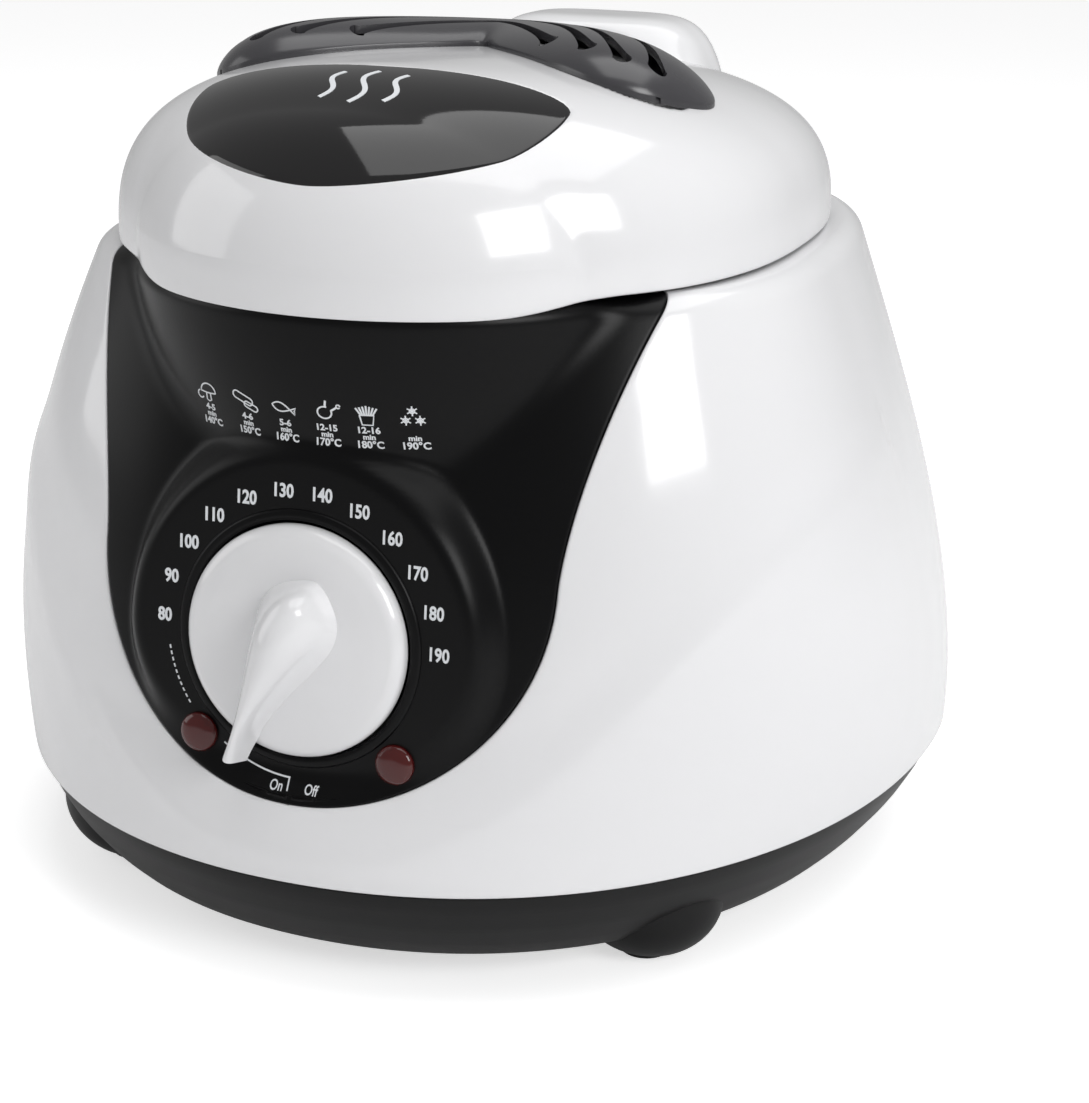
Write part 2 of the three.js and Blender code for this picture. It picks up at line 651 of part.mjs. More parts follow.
function knob() {
  const disc = solid(
    turned(
      [[0, KNOB_BACK], [KNOB_RADIUS - 1, KNOB_BACK], [KNOB_RADIUS, KNOB_BACK + 1],
        [KNOB_RADIUS, 3], [KNOB_RADIUS - 1.6, 4.8], [KNOB_RADIUS - 6, 5.9], [16, 7.4], [0, 8.2]],
      36,
    ),
  );
  const bore = solid(rod(SPINDLE_RADIUS + 0.1 + GAP, -10, 3.4, 0, 0, 16));
  return join(disc, grip()).subtract(bore);
}
place("knob", knob(), whitePlastic(), knobGroup);
place("thermostat_spindle", rod(SPINDLE_RADIUS, -20, 3, 0, 0, 16), steel(), knobGroup);

// -- lid shell with window and vent openings, hinge knuckle and liner bosses
const linerBosses = [[0, 45], [-32, -71], [32, -71]];
const LINER_RIM_Z = LID_Z + 3.1;
const linerZ = (radius) => LINER_RIM_Z + (radius > 82 ? 0 : 17 * Math.sqrt(1 - (radius / 84) ** 2.4));
const bossRadius = ([x, y]) => Math.hypot(x, y - POT_CENTRE_Y);

const lidOuter = solid(lidForm(LID_Z, 0, 44, 11));
const lidInner = solid(lidForm(LID_Z - 3, WALL, 44, 11));
function ventOutline(grow) {
  const rim = heights(-0.97, 0.97, 14);
  return [...rim.map((t) => ventPoint(t, -1, grow)), ...rim.reverse().map((t) => ventPoint(t, 1, grow))];
}

function lidShell() {
  const windowHole = solid(prism(windowOutline(GAP), 150, 260));
  const ventHole = solid(prism(ventOutline(-4), 150, 260));
  const bosses = linerBosses.map((point) =>
    solid(rod(4.5, linerZ(bossRadius(point)) + 2.8, 230, ...point, 12)).intersect(lidOuter));
  const bores = linerBosses.map((point) => solid(rod(1.8, 150, linerZ(bossRadius(point)) + 12, ...point, 10)));
  const knuckle = solid(crossRod(6, -31, 31, HINGE_Y, HINGE_Z, 20));
  const pinBore = solid(crossRod(PIN_RADIUS + 0.4, -80, 80, HINGE_Y, HINGE_Z, 16));
  const lugSlots = [-1, 1].map((side) => {
    const [low, high] = side > 0 ? [31.4, 40.6] : [-40.6, -31.4];
    return solid(block(low, high, 100, 125, LID_Z - 5, HINGE_Z + 9));
  });
  const shell = cut(lidOuter, lidInner, windowHole, ventHole, ...lugSlots);
  return cut(join(shell, ...bosses, knuckle), pinBore, ...bores);
}
place("lid_shell", lidShell(), whitePlastic());

// -- smoked window: a plate in the opening with a flange under the shell's inner face
const between = (upper, lower, outline) =>
  cut(upper, lower).intersect(solid(prism(outline, 150, 260)));
function lidWindow() {
  const under = lidInner.translate(0, 0, -2);
  return join(
    between(lidOuter.translate(0, 0, 0.4), under, windowOutline(0)),
    between(lidInner.translate(0, 0, -0.5), under, windowOutline(4)),
  );
}
place("lid_window", lidWindow(), glossBlack());

// -- vent cover: a raised arch with curved slots, lifting off the filter under it
const ventPlan = (u, v) => ventPoint(0.985 * (2 * u - 1), 2 * v - 1);
function ventCrown(u, v) {
  const [along, across] = [2 * u - 1, 2 * v - 1];
  return 1.4 + (6.3 + 4.8 * along ** 2) * (1 - across ** 2) * (1 - along ** 8);
}
// Each slot is an arch of its own: how far along it ends, its place across in the middle, and its
// bend to the front.
const ventSlots = [
  [0.58, -0.38, -0.37, 1.3],
  [0.77, 0, -0.59, 1.9],
  [0.89, 0.3, -0.68, 2],
  [0.93, 0.62, -0.48, 2],
];
function slotOutline([end, middle, bend, power]) {
  const spine = heights(-1, 1, 16).map((w) => {
    const share = Math.sin((w * Math.PI) / 2);
    return ventPoint(end * share, middle + bend * Math.abs(share) ** power);
  });
  const edge = (side) =>
    spine.map(([x, y], i) => {
      const [from, to] = [spine[Math.max(i - 1, 0)], spine[Math.min(i + 1, 16)]];
      const run = Math.hypot(to[0] - from[0], to[1] - from[1]);
      const half = side * (1.4 + 1.4 * (i / 8 - 1) ** 4) * Math.sqrt(Math.max(1 - (i / 8 - 1) ** 20, 0.1));
      return [x - ((to[1] - from[1]) / run) * half, y + ((to[0] - from[0]) / run) * half];
    });
  return [...edge(-1), ...edge(1).reverse()];
}
function ventCover() {
  const cover = solid(
    sheet(20, 4, ventPlan, (x, y, u, v) => skinZ(x, y) + ventCrown(u, v), (x, y, u, v) =>
      skinZ(x, y) + 0.6 + Math.max(ventCrown(u, v) - 2.6, 0)),
  );
  return cut(cover, ...ventSlots.map((slot) => solid(prism(slotOutline(slot), 150, 260))));
}
place("vent_cover", ventCover(), glossBlack());

// -- grease filter: a pad held in the vent opening
const filterPlan = (u, v) => ventPoint(0.86 * (2 * u - 1), 2 * v - 1, -5.6);
place(
  "vent_filter",
  sheet(14, 2, filterPlan, (x, y) => skinZ(x, y) - 0.8, (x, y) => skinZ(x, y) - 4.2),
  finish(0x8c8f92, 0.8),
);

// -- liner: a pressed dish that keeps oil off the lid, on three screws, with steam holes
function lidLiner() {
  const steps = [92, 82.5, 78, 62, 34, 0];
  const over = steps.map((r) => [r, linerZ(r) + 0.9]);
  const under = steps.map((r) => [r, linerZ(r)]).reverse();
  const dish = solid(turned([...under, ...over], 30, 0, POT_CENTRE_Y));
  const steamHoles = circle(6, 30, 0, POT_CENTRE_Y).map(([x, y]) => solid(rod(4, 150, 240, x, y, 8)));
  const screwHoles = linerBosses.map((point) => solid(rod(1.9, 150, 240, ...point, 10)));
  return cut(dish, ...steamHoles, ...screwHoles);
}
place("lid_liner", lidLiner(), steel());

linerBosses.forEach((point, i) => {
  const z = linerZ(bossRadius(point));
  const screw = join(solid(rod(3.4, z - 4.4, z - 2.2, ...point, 12)), solid(rod(1.4, z - 3, z + 9, ...point, 10)));
  place(`liner_screw_${i + 1}`, screw, steel());
});

// -- gasket: a soft ring under the liner's rim that closes on the pot's flange
place(
  "lid_gasket",
  turned(
    [[85.5, LID_Z + 0.2], [90.5, LID_Z + 0.2], [90.5, LINER_RIM_Z - GAP], [85.5, LINER_RIM_Z - GAP],
      [85.5, LID_Z + 0.2]],
    36,
    0,
    POT_CENTRE_Y,
  ),
  finish(0xc9c4b8, 0.7),
);

// -- hinge: two lugs on a foot plate behind the lid, and the steel pin that they hold
function hingeBracket(side) {
  const [low, high] = side > 0 ? [32, 40] : [-40, -32];
  const ear = join(
    solid(crossRod(5.4, low, high, HINGE_Y, HINGE_Z, 20)),
    solid(block(low, high, HINGE_Y - 5.4, HINGE_Y + 2.4, DECK_Z + GAP, HINGE_Z)),
  );
  return ear.subtract(solid(crossRod(PIN_RADIUS + GAP, -60, 60, HINGE_Y, HINGE_Z, 16)));
}
place("hinge_lug_left", hingeBracket(-1), whitePlastic());
place("hinge_lug_right", hingeBracket(1), whitePlastic());
place("hinge_pin", crossRod(PIN_RADIUS, -41, 41, HINGE_Y, HINGE_Z, 16), steel());

// -- basket: a round bucket of wire mesh, its rim wire, and a folding handle stowed inside
function basket() {
  const [r, low, high, t] = [BASKET_RADIUS, BASKET_FLOOR_Z, BASKET_FLOOR_Z + BASKET_HEIGHT, 1.6];
  return turned(
    [[0, low], [r - 12, low], [r - 5, low + 5], [r, high], [r - t, high], [r - 5 - t, low + 6],
      [r - 12, low + t], [0, low + t]],
    32,
    0,
    POT_CENTRE_Y,
  );
}
place("basket_mesh", basket(), steel());

const RIM_WIRE = 1.8;
const BASKET_TOP = BASKET_FLOOR_Z + BASKET_HEIGHT;
const rimWire = new THREE.TorusGeometry(BASKET_RADIUS - 0.8, RIM_WIRE, 6, 30)
  .translate(0, POT_CENTRE_Y, BASKET_TOP + RIM_WIRE + GAP);
place("basket_rim", rimWire, steel());

// -- wire stand under the basket: a ring on the pot's floor and four struts
function basketStand() {
  const [low, high] = [POT_BOTTOM + POT_WALL + GAP, BASKET_FLOOR_Z - GAP];
  const tread = solid(
    turned([[48, low], [51, low], [51, low + 3], [48, low + 3], [48, low]], 28, 0, POT_CENTRE_Y),
  );
  const struts = circle(4, 49.5, 0, POT_CENTRE_Y).map(([x, y]) => solid(rod(1.4, low + 1, high, x, y, 8)));
  return join(tread, ...struts);
}
place("basket_stand", basketStand(), steel());

// -- handle mount: two ears inside the basket wall joined by a pivot rod
const PIVOT_Y = POT_CENTRE_Y - 62;
const PIVOT_Z = BASKET_TOP - 5;
const EAR_X = 18;
function handleMount() {
  const ears = [-EAR_X, EAR_X].map((x) =>
    solid(block(x - 1, x + 1, PIVOT_Y - 7.6, PIVOT_Y + 3, PIVOT_Z - 3, PIVOT_Z + 3)));
  const plate = solid(block(-EAR_X, EAR_X, PIVOT_Y - 7.6, PIVOT_Y - 6.4, PIVOT_Z - 3, PIVOT_Z + 3));
  return join(solid(crossRod(1.5, -EAR_X, EAR_X, PIVOT_Y, PIVOT_Z, 10)), plate, ...ears);
}
place("handle_mount", handleMount(), steel());

// -- folding handle: a sleeve on the pivot rod, two wires and a moulded grip, hanging inside
const HANDLE_DROP = 54;
function handleFrame() {
  const sleeve = solid(crossRod(3.2, -15, 15, PIVOT_Y, PIVOT_Z, 12));
  const wires = [-11, 11].map((x) => solid(rod(1.6, PIVOT_Z - 30, PIVOT_Z - 1.8, x, PIVOT_Y, 8)));
  return cut(join(sleeve, ...wires), solid(crossRod(1.5 + GAP, -20, 20, PIVOT_Y, PIVOT_Z, 12)));
}
place("handle_frame", handleFrame(), steel());

function handleGrip() {
  const [low, high] = [PIVOT_Z - HANDLE_DROP, PIVOT_Z - 22];
  const shape = new THREE.Shape();
  shape.absarc(-9, low + 8, 8, Math.PI, Math.PI * 1.5);
  shape.absarc(9, low + 8, 8, Math.PI * 1.5, Math.PI * 2);
  shape.absarc(13, high - 4, 4, 0, Math.PI / 2);
  shape.absarc(-13, high - 4, 4, Math.PI / 2, Math.PI);
  const body = new THREE.ExtrudeGeometry(shape, { depth: 7, bevelEnabled: false, curveSegments: 4 })
    .rotateX(Math.PI / 2)
    .translate(0, PIVOT_Y + 3.5, 0);
  const sockets = [-11, 11].map((x) => solid(rod(1.6 + GAP, PIVOT_Z - 31, PIVOT_Z, x, PIVOT_Y, 8)));
  return cut(solid(body), ...sockets);
}
place("handle_grip", handleGrip(), blackPlastic());

export default fryer;
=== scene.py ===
import json
import math

import bmesh
import bpy
import numpy as np
from mathutils import Matrix, Vector


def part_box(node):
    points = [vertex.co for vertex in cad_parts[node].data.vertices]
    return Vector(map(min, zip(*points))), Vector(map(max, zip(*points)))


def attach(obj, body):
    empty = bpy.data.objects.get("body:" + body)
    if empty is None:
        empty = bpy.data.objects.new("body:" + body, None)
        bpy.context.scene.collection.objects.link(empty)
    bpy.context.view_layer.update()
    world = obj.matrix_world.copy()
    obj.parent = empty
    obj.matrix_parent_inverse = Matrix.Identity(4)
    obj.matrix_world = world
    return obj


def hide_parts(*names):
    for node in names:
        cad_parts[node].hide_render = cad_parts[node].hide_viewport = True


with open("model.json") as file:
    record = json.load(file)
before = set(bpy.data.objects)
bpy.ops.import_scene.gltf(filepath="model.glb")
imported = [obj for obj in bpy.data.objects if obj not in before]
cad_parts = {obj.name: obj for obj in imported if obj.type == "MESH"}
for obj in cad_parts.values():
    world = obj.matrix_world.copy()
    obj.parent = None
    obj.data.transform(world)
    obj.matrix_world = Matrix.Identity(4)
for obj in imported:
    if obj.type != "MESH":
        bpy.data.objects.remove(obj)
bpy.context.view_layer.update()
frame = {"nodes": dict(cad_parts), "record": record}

# ---- camera ------------------------------------------------------------------------------------
# A portrait lens a little above the worktop and to the right of the dial, so that the dial, the
# lid's window and the whole right flank show. The roll is the tripod's own small lean.
AZIMUTH = math.radians(20.239)
ELEVATION = math.radians(18.663)
ROLL = math.radians(0.956)
STAND = Vector((0.26398, -0.65270, 0.32676))
FOCAL_LENGTH = 73.9
SENSOR_WIDTH = 36


def put(name, data):
    """A new object that holds the data, linked to the scene."""
    thing = bpy.data.objects.new(name, data)
    bpy.context.collection.objects.link(thing)
    return thing


out = Vector((
    math.sin(AZIMUTH) * math.cos(ELEVATION),
    -math.cos(AZIMUTH) * math.cos(ELEVATION),
    math.sin(ELEVATION),
))
level = Vector((math.cos(AZIMUTH), math.sin(AZIMUTH), 0))
right = level * math.cos(ROLL) + level.cross(out) * -math.sin(ROLL)
turned_frame = Matrix((right, out.cross(right), out)).transposed()
lens = bpy.data.cameras.new("camera")
lens.sensor_width = SENSOR_WIDTH
lens.lens = FOCAL_LENGTH
camera = put("camera", lens)
camera.matrix_world = Matrix.Translation(STAND) @ turned_frame.to_4x4()
bpy.context.scene.camera = camera

# ---- studio ------------------------------------------------------------------------------------
# A pale table top under a plain white world light, a large overhead softbox, and a softbox
# on either side. None of it belongs to the fryer.
FLOOR_HALF = 9.0
GLOW_TO_FRYER = 0.05
GLOW_TO_CAMERA = 0.6


def surface_shader(name):
    """A new material, its node tree and the tree's Principled shader."""
    material = bpy.data.materials.new(name)
    material.use_nodes = True
    return material, material.node_tree, material.node_tree.nodes["Principled BSDF"]


def set_inputs(node, **values):
    """Sets a node's inputs by name, with an underscore for a space."""
    for name, value in values.items():
        node.inputs[name.replace("_", " ")].default_value = value


def add_node(tree, kind, **values):
    """A new shader node in the tree with those inputs set; a mix node mixes colours."""
    node = tree.nodes.new("ShaderNode" + kind)
    if kind == "Mix":
        node.data_type = "RGBA"
    set_inputs(node, **values)
    return node


def join(tree, *links):
    """Each link is a node, the name of its output, the next node and the name of its input."""
    for start, output, end, entry in links:
        tree.links.new(start.outputs[output], end.inputs[entry])


def make_floor():
    mesh = bpy.data.meshes.new("table_top")
    corners = [(-1, -1), (1, -1), (1, 1), (-1, 1)]
    mesh.from_pydata([(x * FLOOR_HALF, y * FLOOR_HALF, 0) for x, y in corners], [], [(0, 1, 2, 3)])
    material, tree, shader = surface_shader("table_white")
    set_inputs(shader, Base_Color=(0.93, 0.93, 0.935, 1), Roughness=0.75, Emission_Color=(1, 1, 1, 1))
    glow = add_node(tree, "MapRange", To_Min=GLOW_TO_FRYER, To_Max=GLOW_TO_CAMERA)
    seen = add_node(tree, "LightPath")
    join(tree, (seen, "Is Camera Ray", glow, "Value"), (glow, "Result", shader, "Emission Strength"))
    mesh.materials.append(material)
    put("table_top", mesh)


def softbox(name, place, aim, size, power):
    """A square lamp at place, turned to face aim."""
    data = bpy.data.lights.new(name, "AREA")
    data.shape = "RECTANGLE"
    data.size = data.size_y = size
    data.energy = power
    lamp = put(name, data)
    lamp.location = place
    lamp.rotation_euler = (Vector(aim) - Vector(place)).to_track_quat("-Z", "Y").to_euler()


make_floor()
softbox("overhead_softbox", (0.25, 0.1, 1.5), (0, 0, 0.1), 1.4, 12)
softbox("right_softbox", (1.3, -0.7, 0.85), (0, 0, 0.15), 0.7, 10.5)
softbox("left_softbox", (-1.35, -0.45, 0.6), (0, 0, 0.12), 0.9, 3.4)
sky = bpy.data.worlds.new("studio")
sky.use_nodes = True
set_inputs(sky.node_tree.nodes["Background"], Color=(1, 1, 1, 1), Strength=0.34)
bpy.context.scene.world = sky
bpy.context.scene.view_settings.view_transform = "Standard"

# ---- outer housing -----------------------------------------------------------------------------
# The white moulded body: an oval bowl that narrows upwards, flattened where the dial sits and
# swollen above it. Gloss polypropylene, one moulding, open at the front for the black panel.
MM = 0.001
FORM = 150.0  # one unit of the outer form, mm
POT_Y = -15.0  # the pot's axis
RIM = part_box("outer_housing")[0][2] / MM
SHIFT = sum(corner[1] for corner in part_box("inner_pot")) / 2 / MM - POT_Y
DECK_Z = 159.3
SHOULDER = 5.0
SKIN = 2.4
PANEL_BOTTOM = 0.135
PANEL_KNEE = 0.56
PANEL_HALF = 0.462
PANEL_POWER = 2.05
BARREL_Y = -0.505
BARREL_RADIUS = 0.55
BARREL_MIDDLE = 1.12
BARREL_HEIGHT = 0.8
FILLET = 0.8  # radius of the moulding's edge beside the panel, mm
FOLD_DEPTH = 1.3
FOLD_WIDTH = 9.0
RECESS = ((92.9, 0.0), (92.7, 1.8), (87, 1.9), (86.6, 4.2))  # radius and depth under the deck, mm
DIAL_Y = -159.0
DIAL_Z = 66.225
DIAL_TILT = math.radians(5.41)
SEAM = 0.16  # half the gap between housing and panel, mm


def in_frame(points):
    """Body millimetres to metres in the object's frame."""
    return (np.asarray(points, float) + (0, SHIFT, RIM)) * MM


def points_at(x, y, z):
    """Points from coordinates that broadcast together."""
    return np.stack(np.broadcast_arrays(x, y, z), -1)


def full_turn(count):
    """Evenly spaced angles all the way round, without the last that would repeat the first."""
    return np.linspace(0, 2 * math.pi, count, endpoint=False)


def around(radius, turn, z, x=0.0, y=0.0):
    """Points at that radius and turn about the upright axis through (x, y), at height z."""
    return points_at(x + radius * np.cos(turn), y + radius * np.sin(turn), z)


def smooth_step(low, high, x):
    """0 below low, 1 above high, and an S-shaped cubic between."""
    t = np.clip((x - low) / (high - low), 0, 1)
    return t * t * (3 - 2 * t)


def soft_max(a, b, k):
    """The larger of a and b, rounded over where they are within k of each other."""
    h = np.maximum(k - np.abs(a - b), 0) / k
    return np.maximum(a, b) + h * h * k / 4


def oval_level(x, y, width, depth, power):
    """1 on an oval of that half-width, half-depth and roundness, less inside it."""
    return ((np.abs(x) / width) ** power + (np.abs(y) / depth) ** power) ** (1 / power)


def oval_radius(c, s, width, front, back, power_front, power_back):
    """Radius along (c, s) of an oval with its own half-width, depths and roundness each way."""
    depth = np.where(s < 0, front, back)
    power = np.where(s < 0, power_front, power_back)
    return ((np.abs(c) / width) ** power + (np.abs(s) / depth) ** power) ** (-1 / power)


def to_barrel(c, s, centre, radius):
    """Distance from (0, centre) along (c, s) to a circle of that radius about the barrel."""
    offset = BARREL_Y - centre
    inside = radius**2 - (offset * c) ** 2
    return np.where((s < 0) & (inside > 0), offset * s + np.sqrt(np.maximum(inside, 0)), 0)


def widest_at(z):
    """How far back the body is widest at a height."""
    return -0.334 * z + 0.169 * z**2


def body_radius(turn, z):
    """Radius of the body about (0, widest_at(z)): an oval whose width and depths are cubics of
    the height, drawn to the dial's plane near the dial, and joined to the barrel above it."""
    c, s, centre = np.cos(turn), np.sin(turn), widest_at(z)
    width = 1 + 0.087 * z - 0.508 * z**2 + 0.181 * z**3
    front = centre + 1.168 - 0.422 * z + 0.454 * z**2 - 0.345 * z**3
    back = 0.777 + 0.332 * z - 0.3 * z**2 - centre
    radius = oval_radius(c, s, width, front, back, 2.085 + 0.802 * z, 2.085 + 0.473 * z)
    ahead = np.minimum(s, -0.3)
    rise = z - DIAL_Z / FORM
    flat = (DIAL_Y / FORM + rise * math.tan(DIAL_TILT) - centre) / ahead
    away = np.hypot(flat * c, np.where(rise < 0, 1.35 * rise, rise))
    eased = radius + (flat - radius) * (1 - smooth_step(0.33, 0.42, away))
    barrel = BARREL_RADIUS * np.sqrt(np.maximum(1 - ((z - BARREL_MIDDLE) / BARREL_HEIGHT) ** 2, 0))
    eased = soft_max(eased, to_barrel(c, s, centre, barrel), 0.03)
    return np.where(s < -0.3, eased, radius)


def panel_half_width(z):
    """Half the width of the black panel at a height: a round-bottomed bib that flares upwards."""
    low = np.clip((PANEL_KNEE - z) / (PANEL_KNEE - PANEL_BOTTOM), 0, 1)
    bib = PANEL_HALF * (1 - low**PANEL_POWER) ** (1 / PANEL_POWER)
    flare = 0.116 * (np.maximum(z - PANEL_KNEE, 0) / 0.5) ** 1.5
    return np.where(z > PANEL_KNEE, PANEL_HALF + flare, bib)


def panel_edge_distance(x, z):
    """Rough distance in mm from the panel's outline, for rounding the moulding over at it."""
    low = np.maximum(PANEL_KNEE - z, 0) / (PANEL_KNEE - PANEL_BOTTOM)
    below = (oval_level(x, low, PANEL_HALF, 1, PANEL_POWER) - 1) * 0.43
    return np.abs(np.where(z > PANEL_KNEE, np.abs(x) - panel_half_width(z), below)) * FORM


def seam_angle(z, half_width):
    """Angle from straight ahead at which the body reaches that half-width, by bisection."""
    low, high = np.zeros_like(z), np.full_like(z, 1.4)
    for _ in range(30):
        middle = (low + high) / 2
        wide = body_radius(middle - math.pi / 2, z) * np.sin(middle) > half_width
        low, high = np.where(wide, low, middle), np.where(wide, middle, high)
    return low


def body_rows():
    """Rows up the body as (height in form units, inset in mm): the wall, closer together at the rim
    and at the panel's foot, then a quarter round."""
    seam = PANEL_BOTTOM * FORM
    foot = np.concatenate([[0, 0.25, 0.7, 1.4], np.linspace(3, seam - 2, 8), seam - np.array([1, 0.6, 0.3])])
    rim_inset = np.array([0.7, 0.3, 0.06] + [0] * 12)
    bib = PANEL_BOTTOM + (PANEL_KNEE - PANEL_BOTTOM) * np.linspace(0, 1, 74) ** 2
    top = np.linspace(PANEL_KNEE, (DECK_Z - SHOULDER) / FORM, 50)[1:]
    bend = np.linspace(0, math.pi / 2, 9)[1:]
    z = np.concatenate([foot / FORM, bib, top, (DECK_Z - SHOULDER + SHOULDER * np.sin(bend)) / FORM])
    inset = np.concatenate([rim_inset, np.zeros(len(bib) + len(top)), SHOULDER * (1 - np.cos(bend))])
    return z, inset


def bowl_fold(x, z):
    """Soft fold in mm that hangs in a U round the panel's foot, fading out as it climbs."""
    across = np.abs(x)
    slope = 2.7 * across**1.7
    away = (z - 0.07 - across**2.7) / np.sqrt(1 + slope**2) * FORM
    fold = FOLD_DEPTH * np.exp(-((away / FOLD_WIDTH) ** 2))
    return fold * (1 - smooth_step(0.6, 0.8, z)) * smooth_step(0.0, 0.05, z)


def body_skin(angles):
    """Points of the body's outside for angles(row heights) -> turn of each column: the wall rows,
    then rows over the deck to the pot's recess. The wall rounds over next to the panel's seam."""
    z, inset = body_rows()
    turn = angles(z)
    high = z[:, None]
    radius = body_radius(turn, high)
    x = radius * np.cos(turn)
    front = np.sin(turn) < 0
    near = np.where(front, panel_edge_distance(x, high), 9.0)
    roll = FILLET - np.sqrt(FILLET**2 - np.clip(FILLET - near, 0, FILLET) ** 2)
    radius = radius * FORM - inset[:, None] - roll + front * bowl_fold(x, high)
    wall = around(radius, turn, high * FORM, y=widest_at(high) * FORM)
    mouth = [around(reach, turn[-1], DECK_Z - depth, y=POT_Y) for reach, depth in RECESS]
    deck = [wall[-1] + (mouth[0] - wall[-1]) * share for share in (0.15, 0.4, 0.7)]
    return np.concatenate([wall, np.stack(deck + mouth)])


def grid_faces(rows, columns, closed=False, loop=False):
    """Quads of a rows by columns grid; closed joins the last column to the first, and loop the
    last row to the first."""
    across = np.arange(columns if closed else columns - 1)
    i, j = np.meshgrid(np.arange(rows if loop else rows - 1), across, indexing="ij")
    here, above = i * columns, (i + 1) % rows * columns
    beside = (j + 1) % columns
    return np.stack([here + j, here + beside, above + beside, above + j], 2).reshape(-1, 4)


def place_mesh(name, points, faces, weld=True, crease=None):
    """A smooth-shaded object from body-frame points in mm and faces, its doubles welded.
    Edges sharper than crease (radians) stay hard."""
    mesh = bpy.data.meshes.new(name)
    mesh.from_pydata(in_frame(points).tolist(), [], [list(map(int, f)) for f in faces])
    if weld:
        work = bmesh.new()
        work.from_mesh(mesh)
        bmesh.ops.remove_doubles(work, verts=work.verts, dist=1e-7)
        work.to_mesh(mesh)
        work.free()
    mesh.shade_smooth()
    if crease:
        mesh.set_sharp_from_angle(angle=crease)
    return put(name, mesh)


def surface(name, grid, closed=False, loop=False, crease=None):
    """An object from a (rows, columns, 3) array of points."""
    rows, columns = grid.shape[:2]
    faces = grid_faces(rows, columns, closed, loop)
    return place_mesh(name, grid.reshape(-1, 3), faces, crease=crease)


def thicken(piece, wall):
    """Gives an open skin a wall behind it."""
    shell = piece.modifiers.new("wall", "SOLIDIFY")
    shell.thickness = wall * MM
    shell.offset = -1
    shell.use_even_offset = False


def belongs(piece, body, slot, finish, *nodes):
    """The piece's finish, the body that it rides on and the nodes it stands for; slot is not used."""
    piece.data.materials.clear()
    piece.data.materials.append(finish)
    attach(piece, body)
    if nodes:
        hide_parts(*nodes)


def make_moulding_group():
    """Moulded plastic: a slow drift of tone, soft cloudy patches in the gloss and a very fine
    grain, all from the object's own coordinates."""
    group = bpy.data.node_groups.new("moulded_skin", "ShaderNodeTree")
    for way, kind, names in (
        ("INPUT", "Color", ("Tone", "Deep tone")),
        ("INPUT", "Float", ("Gloss low", "Gloss high", "Grain scale")),
        ("OUTPUT", "Color", ("Color",)),
        ("OUTPUT", "Float", ("Roughness", "Height")),
    ):
        for name in names:
            group.interface.new_socket(name, in_out=way, socket_type="NodeSocket" + kind)
    given, made = group.nodes.new("NodeGroupInput"), group.nodes.new("NodeGroupOutput")
    where = add_node(group, "TexCoord")
    drift = add_node(group, "TexNoise", Scale=7, Detail=4)
    haze = add_node(group, "TexNoise", Scale=26, Detail=6)
    grain = add_node(group, "TexNoise", Detail=2)
    tone = add_node(group, "Mix")
    gloss = add_node(group, "MapRange")
    join(
        group,
        (where, "Object", drift, "Vector"),
        (where, "Object", haze, "Vector"),
        (where, "Object", grain, "Vector"),
        (given, "Grain scale", grain, "Scale"),
        (drift, "Fac", tone, "Factor"),
        (given, "Tone", tone, "A"),
        (given, "Deep tone", tone, "B"),
        (haze, "Fac", gloss, "Value"),
        (given, "Gloss low", gloss, "To Min"),
        (given, "Gloss high", gloss, "To Max"),
        (tone, "Result", made, "Color"),
        (gloss, "Result", made, "Roughness"),
        (grain, "Fac", made, "Height"),
    )
    return group


moulded_skin = make_moulding_group()


def plastic(name, tone, deep, gloss, grain_scale, grain_depth, specular=0.5, **constants):
    """A moulded plastic: tone and deep are the ends of its colour drift, gloss the range of its
    roughness, and grain_depth the bump distance in metres."""
    material, tree, shader = surface_shader(name)
    skin = tree.nodes.new("ShaderNodeGroup")
    skin.node_tree = moulded_skin
    set_inputs(skin, Tone=(*tone, 1), Deep_tone=(*deep, 1), Grain_scale=grain_scale)
    set_inputs(skin, Gloss_low=gloss[0], Gloss_high=gloss[1])
    bump = add_node(tree, "Bump", Strength=1, Distance=grain_depth)
    join(
        tree,
        (skin, "Color", shader, "Base Color"),
        (skin, "Roughness", shader, "Roughness"),
        (skin, "Height", bump, "Height"),
        (bump, "Normal", shader, "Normal"),
    )
    set_inputs(shader, Specular_IOR_Level=specular, **constants)
    return material


white_gloss = plastic("white_gloss", (0.80, 0.80, 0.81), (0.77, 0.77, 0.785), (0.1, 0.2), 1400, 0.000006,
                      Coat_Weight=0.35, Coat_Roughness=0.06)


def make_housing():
    def angles(z):
        """From the panel's right edge round the back to its left edge, closer together at both."""
        edge = seam_angle(z, np.maximum(panel_half_width(z), 0) + SEAM / FORM)
        edge = np.where(z < PANEL_BOTTOM, 0, edge)[:, None]
        first, last = [0, 0.0006, 0.0015, 0.003, 0.006], [0.994, 0.997, 0.9985, 0.9994, 1]
        across = np.concatenate([first, np.linspace(0.011, 0.989, 260), last])
        return edge + (2 * math.pi - 2 * edge) * across - math.pi / 2

    piece = surface("housing_shell", body_skin(angles))
    thicken(piece, SKIN)
    belongs(piece, "base", "white_plastic", white_gloss, "outer_housing")


make_housing()

# ---- control panel -----------------------------------------------------------------------------
# The black bib behind the dial, a separate satin moulding let into the housing's front, with a
# shallow round well for the knob and a fine raised ring about it.
WELL_RADIUS = 34.6
WELL_DEPTH = 2.4


def on_dial(points):
    """Points on the dial's own flat frame (across, up, out), in mm, to the body frame."""
    x, y, z = np.moveaxis(np.asarray(points, float), -1, 0)
    lean = math.pi / 2 - DIAL_TILT
    back = DIAL_Y + y * math.cos(lean) - z * math.sin(lean)
    return points_at(x, back, DIAL_Z + y * math.sin(lean) + z * math.cos(lean))


